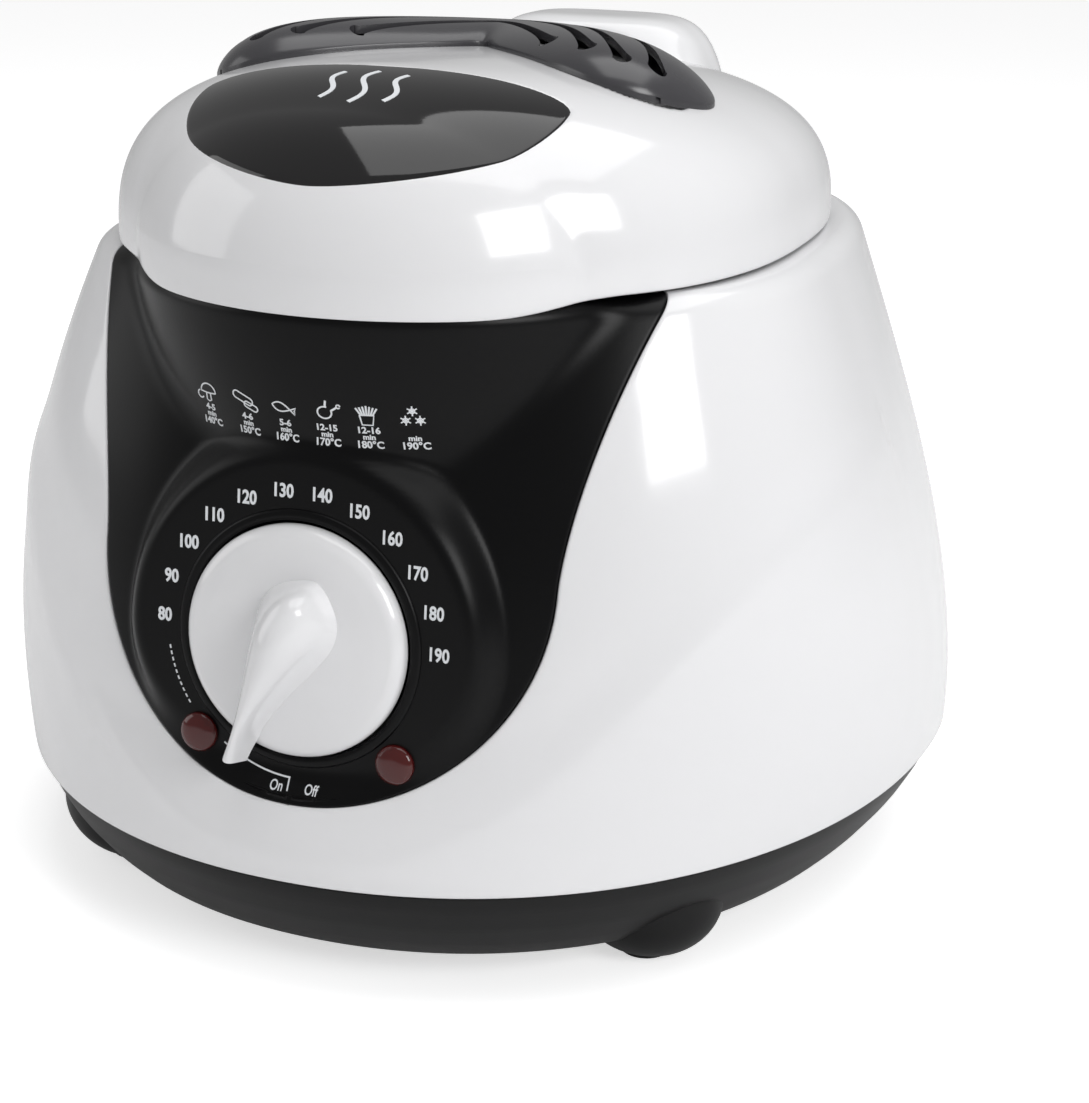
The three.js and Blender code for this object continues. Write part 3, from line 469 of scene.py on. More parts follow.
black_satin = plastic("black_satin", (0.0022, 0.0022, 0.0025), (0.0015, 0.0015, 0.0018), (0.26, 0.36), 1100,
                      0.000012, specular=0.16)


def make_panel():
    def angles(z):
        """From the panel's left edge to its right, closer together at both."""
        edge = seam_angle(z, np.maximum(panel_half_width(z) - SEAM / FORM, 0))
        last = np.array([0.97, 0.984, 0.992, 0.997, 1])
        across = np.concatenate([-last[::-1], np.linspace(-0.95, 0.95, 130), last])
        return edge[:, None] * across - math.pi / 2

    rows = body_rows()[0]
    first = int(np.searchsorted(rows, PANEL_BOTTOM - 1e-9))
    skin = body_skin(angles)[first:]
    x, z = skin[..., 0], skin[..., 2]
    beside = np.hypot(x, (z - DIAL_Z) / math.cos(DIAL_TILT))
    outside_well = smooth_step(WELL_RADIUS - 0.6, WELL_RADIUS + 0.6, beside)
    skin[..., 1] += WELL_DEPTH * (1 - outside_well) * (z < 120)
    piece = surface("control_panel", skin)
    thicken(piece, SKIN)
    belongs(piece, "base", "black_plastic", black_satin, "front_panel")


def lathe(profile, count=96):
    """A profile of (radius, height) turned about the upright axis, as a grid of points."""
    turn = full_turn(count)
    r, h = np.asarray(profile, float).T
    return around(r[:, None], turn, h[:, None])


def soften(path, radius, steps=4):
    """A polyline with each inner corner replaced by a short curve that starts radius before it."""
    path = np.asarray(path, float)
    made = [path[0]]
    for before, corner, after in zip(path[:-2], path[1:-1], path[2:]):
        into, away = corner - before, after - corner
        reach = min(radius, 0.45 * np.linalg.norm(into), 0.45 * np.linalg.norm(away))
        start = corner - into / np.linalg.norm(into) * reach
        end = corner + away / np.linalg.norm(away) * reach
        for t in np.linspace(0, 1, steps + 1):
            made.append((1 - t) ** 2 * start + 2 * t * (1 - t) * corner + t**2 * end)
    made.append(path[-1])
    return np.array(made)


def make_dial_ring():
    """A low rounded ring, closed underneath."""
    section = soften([(33.5, -1.6), (33.5, 0.5), (34.6, 1.0), (36.2, 0.8), (36.8, 0.1), (36.8, -1.6)], 0.5)
    ring = on_dial(lathe(np.concatenate([section, section[:1]]), 160))
    piece = surface("dial_ring", ring, closed=True)
    belongs(piece, "base", "black_plastic", black_satin)


make_panel()
make_dial_ring()

# ---- print on the panel ------------------------------------------------------------------------
# White screen print: the temperature scale round the knob, the marks for on and off, and a row
# of small food guides above it, each with a frying time and a temperature.
INK = 0.07  # half the thickness of the print, mm
LINE = 0.42  # width of its thin lines
SCALE_RADIUS = 41.6
TRACK_RADIUS = 40.4
GUIDE_X = (-32, -18.2, -5.8, 6.4, 17.9, 29.6)
GUIDE_Z = 130.2

white_ink = plastic("white_ink", (0.78, 0.80, 0.82), (0.7, 0.72, 0.75), (0.45, 0.6), 2000, 0.000004)


def finished_mesh(thing):
    """The object's mesh with its curve or modifiers worked out."""
    bpy.context.view_layer.update()
    return bpy.data.meshes.new_from_object(thing.evaluated_get(bpy.context.evaluated_depsgraph_get()))


def lettering(text, size, squeeze=0.78, bold=0.03):
    """A line of type, centred, as (points, faces) with its thickness along the third axis."""
    curve = bpy.data.curves.new("type", "FONT")
    curve.body, curve.size, curve.extrude = text, size, INK
    curve.offset = bold * size
    curve.resolution_u = 3
    curve.align_x, curve.align_y = "CENTER", "CENTER"
    carrier = put("type", curve)
    solid = finished_mesh(carrier)
    points = np.empty(len(solid.vertices) * 3)
    solid.vertices.foreach_get("co", points)
    points = points.reshape(-1, 3) * (squeeze, 1, 1)
    faces = [list(face.vertices) for face in solid.polygons]
    bpy.data.objects.remove(carrier)
    bpy.data.curves.remove(curve)
    bpy.data.meshes.remove(solid)
    return points, faces


def heading(path, closed=False):
    """Unit vectors along a path of points."""
    along = np.roll(path, -1, 0) - np.roll(path, 1, 0) if closed else np.gradient(path, axis=0)
    return along / np.linalg.norm(along, axis=1)[:, None]


def swept(grid, closed):
    """A grid whose rows are sections along a path, as (points, faces), with flat ends unless closed."""
    count, sides = grid.shape[:2]
    faces = [face[::-1] for face in grid_faces(count, sides, closed=True, loop=closed).tolist()]
    if not closed:
        first = list(range(sides))
        faces += [first, [sides * (count - 1) + corner for corner in reversed(first)]]
    return grid.reshape(-1, 3), faces


def stroke(path, width=LINE, closed=False):
    """A flat line of that width along (x, y) points, as (points, faces): a four-cornered section
    carried along the path."""
    path = np.asarray(path, float)
    along = heading(path, closed)
    side = np.stack([along[:, 1], -along[:, 0]], 1) * width / 2
    corners = [np.column_stack([path + side * s, np.full(len(path), h)])
               for s, h in ((-1, -INK), (1, -INK), (1, INK), (-1, INK))]
    return swept(np.stack(corners, 1), closed)


def gather(parts):
    """Several (points, faces) as one."""
    points, faces, start = [], [], 0
    for part_points, part_faces in parts:
        points.append(part_points)
        faces += [[index + start for index in face] for face in part_faces]
        start += len(part_points)
    return np.concatenate(points), faces


def moved(part, x=0, y=0, turn=0, scale=1):
    """The part turned anticlockwise by degrees, scaled and shifted in its plane."""
    points, faces = part
    a = math.radians(turn)
    spun = points @ np.array([[math.cos(a), math.sin(a), 0], [-math.sin(a), math.cos(a), 0], [0, 0, 1]])
    return spun * (scale, scale, 1) + (x, y, 0), faces


def clock(degrees, radius):
    """A point on the dial, degrees clockwise from its top."""
    turn = np.radians(degrees)
    return radius * np.sin(turn), radius * np.cos(turn)


def arc(centre_x, centre_y, radius, start, end, count=24, squash=1.0):
    """Points of an arc in degrees anticlockwise from the right."""
    turn = np.radians(np.linspace(start, end, count))
    return np.stack([centre_x + radius * np.cos(turn), centre_y + squash * radius * np.sin(turn)], 1)


def printed(name, parts, body, slot, laid_on):
    """Print made of those parts, laid on the skin by laid_on."""
    points, faces = gather(parts)
    piece = place_mesh(name, laid_on(points), faces, weld=False, crease=0.6)
    belongs(piece, body, slot, white_ink)


def on_panel(points, lift=0.1):
    """Points drawn flat (across, up, thickness) laid on the body's front: the turn at which the
    body is that far across is found by bisection."""
    x, z, rise = np.moveaxis(points, -1, 0)
    high = z / FORM
    turn = np.where(x < 0, -1, 1) * seam_angle(high, np.abs(x) / FORM) - math.pi / 2
    radius = body_radius(turn, high) * FORM + bowl_fold(x / FORM, high) + rise + lift
    return around(radius, turn, z, y=widest_at(high) * FORM)


def on_tilted_panel(points):
    """Points drawn about the dial's centre, laid on the panel."""
    return on_panel(points * (1, math.cos(DIAL_TILT), 1) + (0, DIAL_Z, 0))


def make_dial_print():
    """Figures from 80 to 190, a dashed and a plain line round the foot, and the words on and off."""
    marks = []
    for step in range(12):
        x, y = clock(-88 + 16 * step, SCALE_RADIUS)
        marks.append(moved(lettering(str(80 + 10 * step), 5.3, 0.82, 0.028), x, y))
    for start in np.arange(-100, -124, -2.6):
        marks.append(stroke(np.stack(clock(np.linspace(start, start - 1.5, 4), TRACK_RADIUS), 1), 0.4))
    track = np.stack(clock(np.linspace(-146, -178, 24), TRACK_RADIUS - 0.6), 1)
    marks.append(stroke(track))
    marks.append(stroke([clock(-178, TRACK_RADIUS - 0.8), clock(-178.4, TRACK_RADIUS + 2.6)]))
    for text, turn in (("On", -173.6), ("Off", 172)):
        x, y = clock(turn, 42.4)
        marks.append(moved(lettering(text, 3.6, 0.85, 0.01), x, y))
    printed("dial_scale", marks, "base", "black_plastic", on_tilted_panel)


def mushroom():
    """A half-oval cap on a short stem."""
    cap = np.concatenate([arc(0, 0, 3, 0, 180, 20, 0.9), [[-1, -0.2], [1, -0.2], [3, 0]]])
    stem = [(-0.8, -0.2), (-0.9, -2.4), (0, -2.8), (0.9, -2.4), (0.8, -0.2)]
    return [stroke(cap), stroke(stem), stroke(arc(-3.4, -1.2, 1.2, 100, 330, 12))]


def sausage():
    """A long and a short capsule side by side."""
    def capsule(half, radius):
        return np.concatenate([arc(half, 0, radius, -90, 90, 10), arc(-half, 0, radius, 90, 270, 10)])

    long_one = moved(stroke(capsule(2.4, 1.15), closed=True), -0.8, 0.9, -22)
    short_one = moved(stroke(capsule(1.5, 0.9), closed=True), 1.8, -1.4, -22)
    return [long_one, short_one]


def fish():
    """A leaf-shaped body with a forked tail."""
    s = np.linspace(0, 1, 24)
    upper = np.stack([-3.6 + 5.8 * s, 1.35 * np.sin(np.pi * s**0.8)], 1)
    lower = upper[::-1] * (1, -1)
    tail = [(2.2, 0), (3.9, 1.1), (3.5, 0), (3.9, -1.1), (2.2, 0)]
    body = stroke(np.concatenate([upper, lower[1:-1]]), closed=True)
    return [moved(part, turn=-12) for part in (body, stroke(tail))]


def drumstick():
    """An open oval with two bone ends."""
    meat = arc(0, 0, 2.1, 70, 380, 26, 0.85)
    bone = [(1.9, 0.6), (3.9, 1.9)]
    knuckle = arc(4.2, 2.1, 0.55, 0, 330, 10)
    second = [(0.3, 1.9), (0.6, 3.7)]
    return [stroke(meat, 0.45), stroke(bone, 0.6), stroke(knuckle, 0.4), stroke(second, 0.6)]


def fries():
    """Seven sticks that fan out of a tub."""
    tub = [(-2, 0), (-1.5, -3), (1.5, -3), (2, 0), (-2, 0)]
    sticks = [[(x * 0.8, 0.2), (x * 1.35, 2.9 - 0.35 * abs(x))] for x in np.linspace(-2.2, 2.2, 7)]
    return [stroke(tub)] + [stroke(stick, 0.5) for stick in sticks]


def flakes():
    """Three six-armed stars of ice."""
    parts = []
    for x, y in ((0, 1.7), (-1.9, -1.2), (1.9, -1.2)):
        parts += [stroke(arc(x, y, 1.5, a, a + 180, 2), 0.36) for a in (30, 90, 150)]
        parts.append(stroke(arc(x, y, 0.75, 0, 300, 6), 0.3, closed=True))
    return parts


def make_food_guide():
    guides = (
        (mushroom, "4-5", "140"), (sausage, "4-6", "150"), (fish, "5-6", "160"),
        (drumstick, "12-15", "170"), (fries, "12-16", "180"), (flakes, "", "190"),
    )
    parts = []
    for x, (drawing, minutes, degrees) in zip(GUIDE_X, guides):
        parts += [moved(part, x, GUIDE_Z, scale=0.95) for part in drawing()]
        if minutes:
            parts.append(moved(lettering(minutes, 2.6, 1.05), x, GUIDE_Z - 4.5))
        parts.append(moved(lettering("min", 2.2, 1.05), x, GUIDE_Z - 6.5))
        parts.append(moved(lettering(degrees + "°C", 2.9, 0.98), x, GUIDE_Z - 8.8))
    printed("food_guide", parts, "base", "black_plastic", on_panel)


make_dial_print()
make_food_guide()

# ---- indicator lenses --------------------------------------------------------------------------
# Two dark red domed lenses, clear polycarbonate dyed through, pressed into the panel from the
# front, with a neon lamp behind each.
LENS_RADIUS = 5.7
LENS_PITCH = 43.3
LENS_CLOCK = 136

red_dye = plastic("red_dye", (0.085, 0.007, 0.006), (0.045, 0.004, 0.0035), (0.05, 0.12), 500, 0.00002,
                  specular=0.4, Coat_Weight=0.25, Coat_Roughness=0.05)


def make_lens(side, name):
    """A dome turned about its own middle, with a narrower stem behind the panel."""
    x, y = clock(side * LENS_CLOCK, LENS_PITCH)
    rise = np.linspace(0, math.pi / 2, 14)
    dome = np.stack([LENS_RADIUS * np.cos(rise) ** 0.8, 0.5 + 2.2 * np.sin(rise)], 1)
    dome[-1, 0] = 0
    profile = np.concatenate([[(0, -4), (4, -4), (4, -0.5), (LENS_RADIUS, -0.5)], dome])
    piece = surface(name, on_dial(lathe(profile, 48) + (x, y, 0)), closed=True)
    belongs(piece, "base", "red_lens", red_dye, "indicator_" + name)


make_lens(-1, "lens_left")
make_lens(1, "lens_right")

# ---- knob --------------------------------------------------------------------------------------
# A shallow domed white disc with a teardrop grip moulded on it, whose tip reaches past the disc's
# edge to the scale. One moulding, pressed on the thermostat's spindle.
KNOB_RADIUS = 32.8
KNOB_REST = math.radians(156)
GRIP_TAIL = -20.5
GRIP_LENGTH = 57.5


def on_knob(points):
    """Points on the knob with its tip up, turned to where the knob is stored."""
    x, y, z = np.moveaxis(np.asarray(points, float), -1, 0)
    c, s = math.cos(KNOB_REST), math.sin(KNOB_REST)
    return on_dial(points_at(x * c - y * s, x * s + y * c, z))


def capped(grid):
    """The grid with a row at each end that holds its end row's middle."""
    first, last = (row.mean(0) + 0 * row for row in (grid[0], grid[-1]))
    return np.concatenate([[first], grid, [last]])


def rounded_start(t, length):
    """A quarter round that climbs from 0 to 1 over that length of t."""
    share = np.clip(t / length, 0, 1)
    return np.sqrt(share * (2 - share))


def make_knob():
    """The disc is a lathed profile; the grip is an arch section carried from its blunt tail to
    its thin tip, widest and tallest near the disc's middle."""
    edge = soften([(0, -2), (KNOB_RADIUS - 1.5, -2), (KNOB_RADIUS, -0.5), (KNOB_RADIUS, 3.0),
                   (KNOB_RADIUS - 2.2, 5.0), (KNOB_RADIUS - 7, 6.0)], 1.6, 5)
    inner = np.linspace(KNOB_RADIUS - 7.5, 0, 14)
    crown = np.stack([inner, 8.0 - 1.98 * (inner / (KNOB_RADIUS - 7)) ** 2], 1)
    disc = surface("knob_disc", on_knob(lathe(np.concatenate([edge, crown]), 144)), closed=True)

    t = np.linspace(0, 1, 90) ** 1.7
    reach = GRIP_TAIL + GRIP_LENGTH * t
    wide = 7.9 * np.sin(np.pi * np.minimum(t * 1.2 + 0.14, 0.5)) * (1 - smooth_step(0.15, 0.9, t)) + 2.3
    wide *= rounded_start(t, 0.16)
    ridge = 8.5 + 15.5 * np.sin(np.pi * np.minimum(0.16 + t * 0.9, 0.5)) * (1 - 0.66 * t**2)
    ridge = 6 + (ridge - 6) * rounded_start(t, 0.1)
    foot = 4.2 + 2.0 * smooth_step(0.75, 0.97, t)
    lean = np.linspace(0, math.pi, 37)
    flare = 1 + 0.4 * (1 - np.sin(lean)) ** 3
    height = foot[:, None] + (ridge - foot)[:, None] * np.sin(lean) ** 0.9
    over = points_at(wide[:, None] * np.cos(lean) * flare, reach[:, None], height)
    under = over[:, ::-1][:, 1:-1] * (1, 1, 0) + points_at(0, 0, foot)[:, None]
    grid = capped(np.concatenate([over, under], 1))[::-1]
    blade = surface("knob_grip", on_knob(grid), closed=True, crease=0.9)
    belongs(disc, "knob", "white_plastic", white_gloss, "knob")
    belongs(blade, "knob", "white_plastic", white_gloss)


make_knob()

# ---- lid shell ---------------------------------------------------------------------------------
# The white lid: a flattened dome that carries the barrel over the dial forward as a lip, and
# rises at the back into the hinge housing. One gloss moulding with a lining inside.
LID_Z = 160.2
LID_WALL = 2.6
LID_CENTRE = -0.155
LID_WIDTH = 0.685
LID_FRONT = -0.938
LID_BACK = 0.757
LID_POWERS = (2.483, 2.346)
DOME_LEAN = -0.419
LIP_RADIUS = 0.545
SWELL_HEIGHT = 0.352
HINGE_Y = 0.56
HINGE_HALF = (0.31, 0.19)
HINGE_HEIGHT = 0.433
WINDOW_Y = -0.695 * FORM
VENT_SPAN = 0.46
VENT_HALF = 0.148
WINDOW_SEAT = 2.6
VENT_SEAT = 7.0


def lid_outline(turn):
    """Radius of the lid's edge about (0, LID_CENTRE): an oval joined to the barrel's lip."""
    c, s = np.cos(turn), np.sin(turn)
    oval = oval_radius(c, s, LID_WIDTH, LID_CENTRE - LID_FRONT, LID_BACK - LID_CENTRE, *LID_POWERS)
    return soft_max(oval, to_barrel(c, s, LID_CENTRE, LIP_RADIUS), 0.008)


def dome_level(x, y):
    """How far out a plan point lies on the dome, 0 at the crown and 1 at the outline, where the
    rings' centres slide back towards the crown; found by bisection."""
    low, high = np.zeros_like(x), np.full_like(x, 1.3)
    for _ in range(24):
        middle = (low + high) / 2
        dy = y - LID_CENTRE - DOME_LEAN * (1 - middle)
        depth = np.where(dy < 0, LID_CENTRE - LID_FRONT, LID_BACK - LID_CENTRE)
        power = np.where(dy < 0, *LID_POWERS)
        reach = oval_level(x, dy, LID_WIDTH, depth, power)
        low, high = np.where(reach > middle, middle, low), np.where(reach > middle, high, middle)
    return low


def swell(q, power, roundness):
    """A rounded plateau: 1 in the middle, falling to 0 where q reaches 1."""
    return np.maximum(1 - q**power, 0) ** (1 / roundness)


def lid_height(x, y):
    """Height of the lid's skin in mm over plan points in mm: dome, barrel and hinge housing."""
    x, y = x / FORM, y / FORM
    level = dome_level(x, y)
    dome = np.where(level < 1, 1.08 + SWELL_HEIGHT * swell(level, 2.411, 2.675), 1)
    barrel = 1.05 + SWELL_HEIGHT * swell(np.hypot(x, y - BARREL_Y) / BARREL_RADIUS, 4, 2.2)
    housing = 1 + HINGE_HEIGHT * swell(oval_level(x, y - HINGE_Y, *HINGE_HALF, 3.5), 6, 2)
    return soft_max(soft_max(dome, barrel, 0.03), housing, 0.05) * FORM


def window_reach(turn):
    """Radius in mm of the window's outline: nearly straight at the back, round in front."""
    return oval_radius(np.cos(turn), np.sin(turn), 0.372, 0.308, 0.06, 1.85, 4.6) * FORM


def window_level(x, y):
    """1 on the window's outline, less inside it."""
    return np.hypot(x, y - WINDOW_Y) / window_reach(np.arctan2(y - WINDOW_Y, x))


def vent_spine(x):
    """Height in plan of the vent's spine: a hyperbola that bends round the crown."""
    return 0.02 - np.hypot(x, 0.05)


def vent_point(along, across):
    """Plan point of the arch in mm: from the spine, square to a softer hyperbola, to either side
    of a band that spreads to the back along its legs and closes in round ends."""
    x = VENT_SPAN * along
    lean = x / np.hypot(x, 0.25)
    spread = np.where(across > 0, 1 + 0.6 * along**2, 1)
    half = VENT_HALF * spread * np.sqrt(np.maximum(1 - np.abs(along) ** 8, 0))
    size = np.hypot(lean, 1)
    return (x + lean / size * half * across) * FORM, (vent_spine(x) + half * across / size) * FORM


def vent_well(x, y):
    """1 well inside the vent's band, 0 outside it: distance to the nearest of many spine points."""
    spine = np.linspace(-0.86, 0.86, 61) * VENT_SPAN
    away = np.full(np.shape(x), 9.0)
    for point in spine:
        away = np.minimum(away, np.hypot(x / FORM - point, y / FORM - vent_spine(point)))
    return 1 - smooth_step(0.6, 0.72, away / VENT_HALF)


def lid_skin(x, y):
    """The skin with a shallow seat sunk under the window and the vent."""
    seat = WINDOW_SEAT * (1 - smooth_step(0.955, 0.985, window_level(x, y)))
    return lid_height(x, y) - seat - VENT_SEAT * vent_well(x, y)


def make_lid():
    """Rings from inside the crown down the lining, round the lip and up over the skin, packed
    closer together towards the edge."""
    turn = full_turn(420)
    edge = lid_outline(turn) * FORM

    def ring(level, inset, z=None):
        radius = (edge - inset) * level
        x, y = radius * np.cos(turn), LID_CENTRE * FORM + radius * np.sin(turn)
        return points_at(x, y, lid_skin(x, y) if z is None else z)

    levels = np.sin(math.pi / 2 * np.linspace(1, 0, 130))
    outer = [ring(level, 0) for level in levels[1:]]
    droop = 4.2 * smooth_step(112, 146, -(LID_CENTRE * FORM + edge * np.sin(turn)))
    lip = []
    for inset, lift in ((LID_WALL, 0), (0.9, 0), (0.3, 0.25), (0.05, 0.8), (0, 1.6)):
        row = ring(1, inset, LID_Z + lift)
        row[:, 2] -= droop
        lip.append(row)
    inner = []
    for level in levels[::-1][:-4:2]:
        row = ring(level, LID_WALL)
        row[:, 2] = np.maximum(row[:, 2] - LID_WALL - 0.4, LID_Z + 2)
        inner.append(row)
    piece = surface("lid_moulding", np.stack(inner + lip + outer), closed=True)
    belongs(piece, "lid", "white_plastic", white_gloss, "lid_shell")


make_lid()

# ---- lid window --------------------------------------------------------------------------------
# A D-shaped plate of smoked acrylic, polished, that snaps into the lid over the barrel. Its rim
# is rounded and stands just proud. Three plain steam lines are printed on it.
WINDOW_PROUD = 0.35
WINDOW_ROLL = 1.0
STEAM_Y = -113
STEAM_HEIGHT = 21

black_gloss = plastic("black_gloss", (0.012, 0.0115, 0.012), (0.009, 0.0085, 0.009), (0.04, 0.08), 900,
                      0.000003)


def window_grid():
    """Rings of the plate from under its middle, out round its rolled edge and back over the top."""
    turn = full_turn(260)
    reach = window_reach(turn)

    def ring(level, inset, lift):
        radius = np.maximum(reach - inset, 0) * level
        x, y = radius * np.cos(turn), WINDOW_Y + radius * np.sin(turn)
        return points_at(x, y, lid_height(x, y) + lift)

    under = [ring(level, 0.2, -1.6) for level in np.linspace(0, 1, 12)]
    bend = np.linspace(0, math.pi / 2, 7)
    rolled = [ring(1, WINDOW_ROLL * (1 - math.cos(b)), WINDOW_PROUD - WINDOW_ROLL + WINDOW_ROLL * math.sin(b))
              for b in bend]
    over = [ring(level, WINDOW_ROLL, WINDOW_PROUD) for level in np.linspace(0.985, 0, 60)]
    return np.stack(under + rolled + over)


def on_window(points):
    """Points drawn in plan (across, back, thickness) laid on the window."""
    x, y, rise = np.moveaxis(points, -1, 0)
    return points_at(x, y, lid_height(x, y) + WINDOW_PROUD + 0.08 + rise)


def make_window():
    plate = surface("smoked_window", window_grid(), closed=True)
    belongs(plate, "lid", "gloss_black", black_gloss, "lid_window")
    s = np.linspace(0, 1, 40)
    wave = np.stack([2.1 * np.sin(2 * np.pi * s), (s - 0.5) * STEAM_HEIGHT], 1)
    lines = [stroke(wave * size + (x, STEAM_Y), 1.5) for x, size in ((-9.5, 0.82), (0, 1), (9.5, 0.82))]
    printed("steam_mark", lines, "lid", "gloss_black", on_window)


make_window()

# ---- vent cover --------------------------------------------------------------------------------
# The raised black arch behind the window, a polished cap with four nested arched slots that let
# the steam out. It pulls straight up off the grease filter.
VENT_EDGE = 1.3
VENT_WALL = 2.2
# Each slot's end along the cover, its middle across it, its bend and the bend's power.
VENT_SLOTS = ((0.58, -0.38, -0.37, 1.3), (0.77, 0, -0.59, 1.9), (0.89, 0.3, -0.68, 2), (0.93, 0.62, -0.48, 2))
SLOT_HALF = 1.3  # half a slot's width at its middle, mm
CUTTER_LOW, CUTTER_HIGH = 140.0, 260.0
CUT_CREASE = math.radians(40)

vent_gloss = plastic("vent_gloss", (0.05, 0.049, 0.054), (0.04, 0.039, 0.043), (0.2, 0.28), 900,
                     0.000003, specular=0.6)


def face_out(mesh):
    """Turns every face of a closed mesh outwards."""
    work = bmesh.new()
    work.from_mesh(mesh)
    bmesh.ops.recalc_face_normals(work, faces=work.faces)
    work.to_mesh(mesh)
    work.free()


def cut_away(piece, tools):
    """Cuts each tool's shape out of the piece and removes the tool, then smooths all but the
    sharp edges."""
    for tool in tools:
        cut = piece.modifiers.new("cut", "BOOLEAN")
        cut.operation, cut.solver, cut.object = "DIFFERENCE", "EXACT", tool
        left = finished_mesh(piece)
        piece.modifiers.clear()
        piece.data = left
        bpy.data.objects.remove(tool)
    piece.data.shade_smooth()
    piece.data.set_sharp_from_angle(angle=CUT_CREASE)


def vent_slot(end, middle, bend, power):
    """Upright cutter for one slot: an arch that runs to end along the cover, starts at middle
    across it and bends forward, widening from a slit to round ends."""
    w = np.linspace(-1, 1, 81)
    share = np.sin(w * math.pi / 2)
    path = np.stack(vent_point(end * share, middle + bend * np.abs(share) ** power), 1)
    tangent = heading(path)
    side = np.stack([-tangent[:, 1], tangent[:, 0]], 1)
    half = SLOT_HALF + 1.6 * w**4
    tip = np.linspace(0.15, 1.45, 7)
    beyond = half[-1] * np.sin(tip)[:, None]
    path = np.concatenate([(path[0] - tangent[0] * beyond)[::-1], path, path[-1] + tangent[-1] * beyond])
    side = np.concatenate([np.repeat(side[:1], len(tip), 0), side, np.repeat(side[-1:], len(tip), 0)])
    half = np.concatenate([half[0] * np.cos(tip)[::-1], half, half[-1] * np.cos(tip)])
    loop = np.concatenate([path + side * half[:, None], (path - side * half[:, None])[::-1]])
    count = len(loop)
    faces = grid_faces(2, count, closed=True).tolist()
    for i in range(count // 2 - 1):
        strip = [i, i + 1, count - 2 - i, count - 1 - i]
        faces += [strip, [count + corner for corner in strip[::-1]]]
    ends = [points_at(*loop.T, z) for z in (CUTTER_LOW, CUTTER_HIGH)]
    cutter = place_mesh("slot_cutter", np.concatenate(ends), faces)
    face_out(cutter.data)
    return cutter


def make_vent():
    """The skin lifted by a bulge that falls to nothing at the arch's edge and ends, over an
    underside that follows it."""
    u = np.sin(math.pi / 2 * np.linspace(-1, 1, 201))
    v = np.sin(math.pi / 2 * np.linspace(-1, 1, 49))
    along, across = np.meshgrid(u * 0.9999, v, indexing="ij")
    x, y = vent_point(along, across)
    crown = 6.3 + 4.8 * along**2
    bulge = crown * np.maximum(1 - np.abs(across) ** 2.2, 0) ** 0.72 * np.maximum(1 - along**8, 0) ** 0.6
    skin = lid_height(x, y)
    top = points_at(x, y, skin + VENT_EDGE + bulge)
    bottom = points_at(x, y, skin - 0.3 + np.maximum(VENT_EDGE + bulge - VENT_WALL, 0))
    piece = surface("vent_cap", np.concatenate([top, bottom[:, ::-1]], 1), closed=True)
    face_out(piece.data)
    cut_away(piece, (vent_slot(*slot) for slot in VENT_SLOTS))
    belongs(piece, "vent_cover", "gloss_black", vent_gloss, "vent_cover")


make_vent()

# ---- base pan ----------------------------------------------------------------------------------
# The dark tray under the housing: its wall leans in, its floor carries four rounded foot pods,
# and its top edge is rolled where it meets the housing. Satin grey-black moulding.
BASE_DEPTH = 30.0
BASE_Y = -29  # the point that the tray's wall leans in towards
BASE_WALL = 2.2
PODS = ((-86, -106), (86, -106), (-82, 66), (82, 66))
POD_SIZE = (23.0, 19.0, 20.0)
POD_Z = -18.0

grey_satin = plastic("grey_satin", (0.006, 0.0058, 0.006), (0.004, 0.004, 0.0042), (0.34, 0.46), 1300,
                     0.000014, specular=0.25)


def make_base():
    """The housing's foot outline, shrunk a little more with depth, then drawn in over the floor."""
    turn = full_turn(300)
    ring = body_radius(turn, np.zeros(1)) * FORM
    rim_x, rim_y = ring * np.cos(turn), ring * np.sin(turn)
    wall = soften([(-0.5, 2.2), (-0.5, 0.6), (-1.2, 0), (-6, 0), (-14, 0), (-22, 0), (-27.5, 0.3),
                   (-29.8, 3.2), (-30, 8), (-30, 16)], 1.2, 3)
    rows = []
    for z, inset in wall:
        shrink = 0.985 - 0.135 * (-z / BASE_DEPTH) ** 1.6 - inset / 130
        rows.append(points_at(rim_x * shrink, BASE_Y + (rim_y - BASE_Y) * shrink, z))
    x, y, _ = rows[-1].T
    for share in np.linspace(0.97, 0, 40):
        rows.append(points_at(x * share, BASE_Y + (y - BASE_Y) * share, -BASE_DEPTH))
    piece = surface("base_tray", np.stack(rows)[::-1], closed=True)
    thicken(piece, BASE_WALL)
    belongs(piece, "base", "dark_plastic", grey_satin, "base_pan")


def make_pod(name, x, y):
    """The lower part of an egg, from inside the tray's floor down to a flat that holds the pad."""
    turn = full_turn(72)
    drop = np.linspace(-0.75, 0.92, 40)
    wide, deep, tall = POD_SIZE
    girth = np.sqrt(1 - drop**2)[:, None]
    across, back = wide * girth * np.cos(turn), deep * girth * np.sin(turn)
    egg = points_at(x + across, y + back, POD_Z - tall * drop[:, None])
    middle = np.array([x, y, 0])
    head, foot = (np.stack([middle + (row - middle) * (share, share, 1) for share in shares])
                  for row, shares in ((egg[0], (0, 0.6)), (egg[-1], (0.96, 0.6, 0))))
    piece = surface(name, np.concatenate([head, egg, foot])[::-1], closed=True, crease=0.7)
    belongs(piece, "base", "dark_plastic", grey_satin)


for number, (pod_x, pod_y) in enumerate(PODS, 1):
    make_pod("foot_pod_%d" % number, pod_x, pod_y)
make_base()

# ---- grease filter -----------------------------------------------------------------------------
# A dark pad of felted wool, cut to a narrow arch, that lies loose in the well under the vent
# cover and soaks up what the steam carries.
FELT_TOP, FELT_BOTTOM = 2.4, 6.2  # depths under the lid's skin, mm

felt = plastic("felt", (0.03, 0.03, 0.031), (0.008, 0.008, 0.009), (0.9, 1.0), 350, 0.0006)


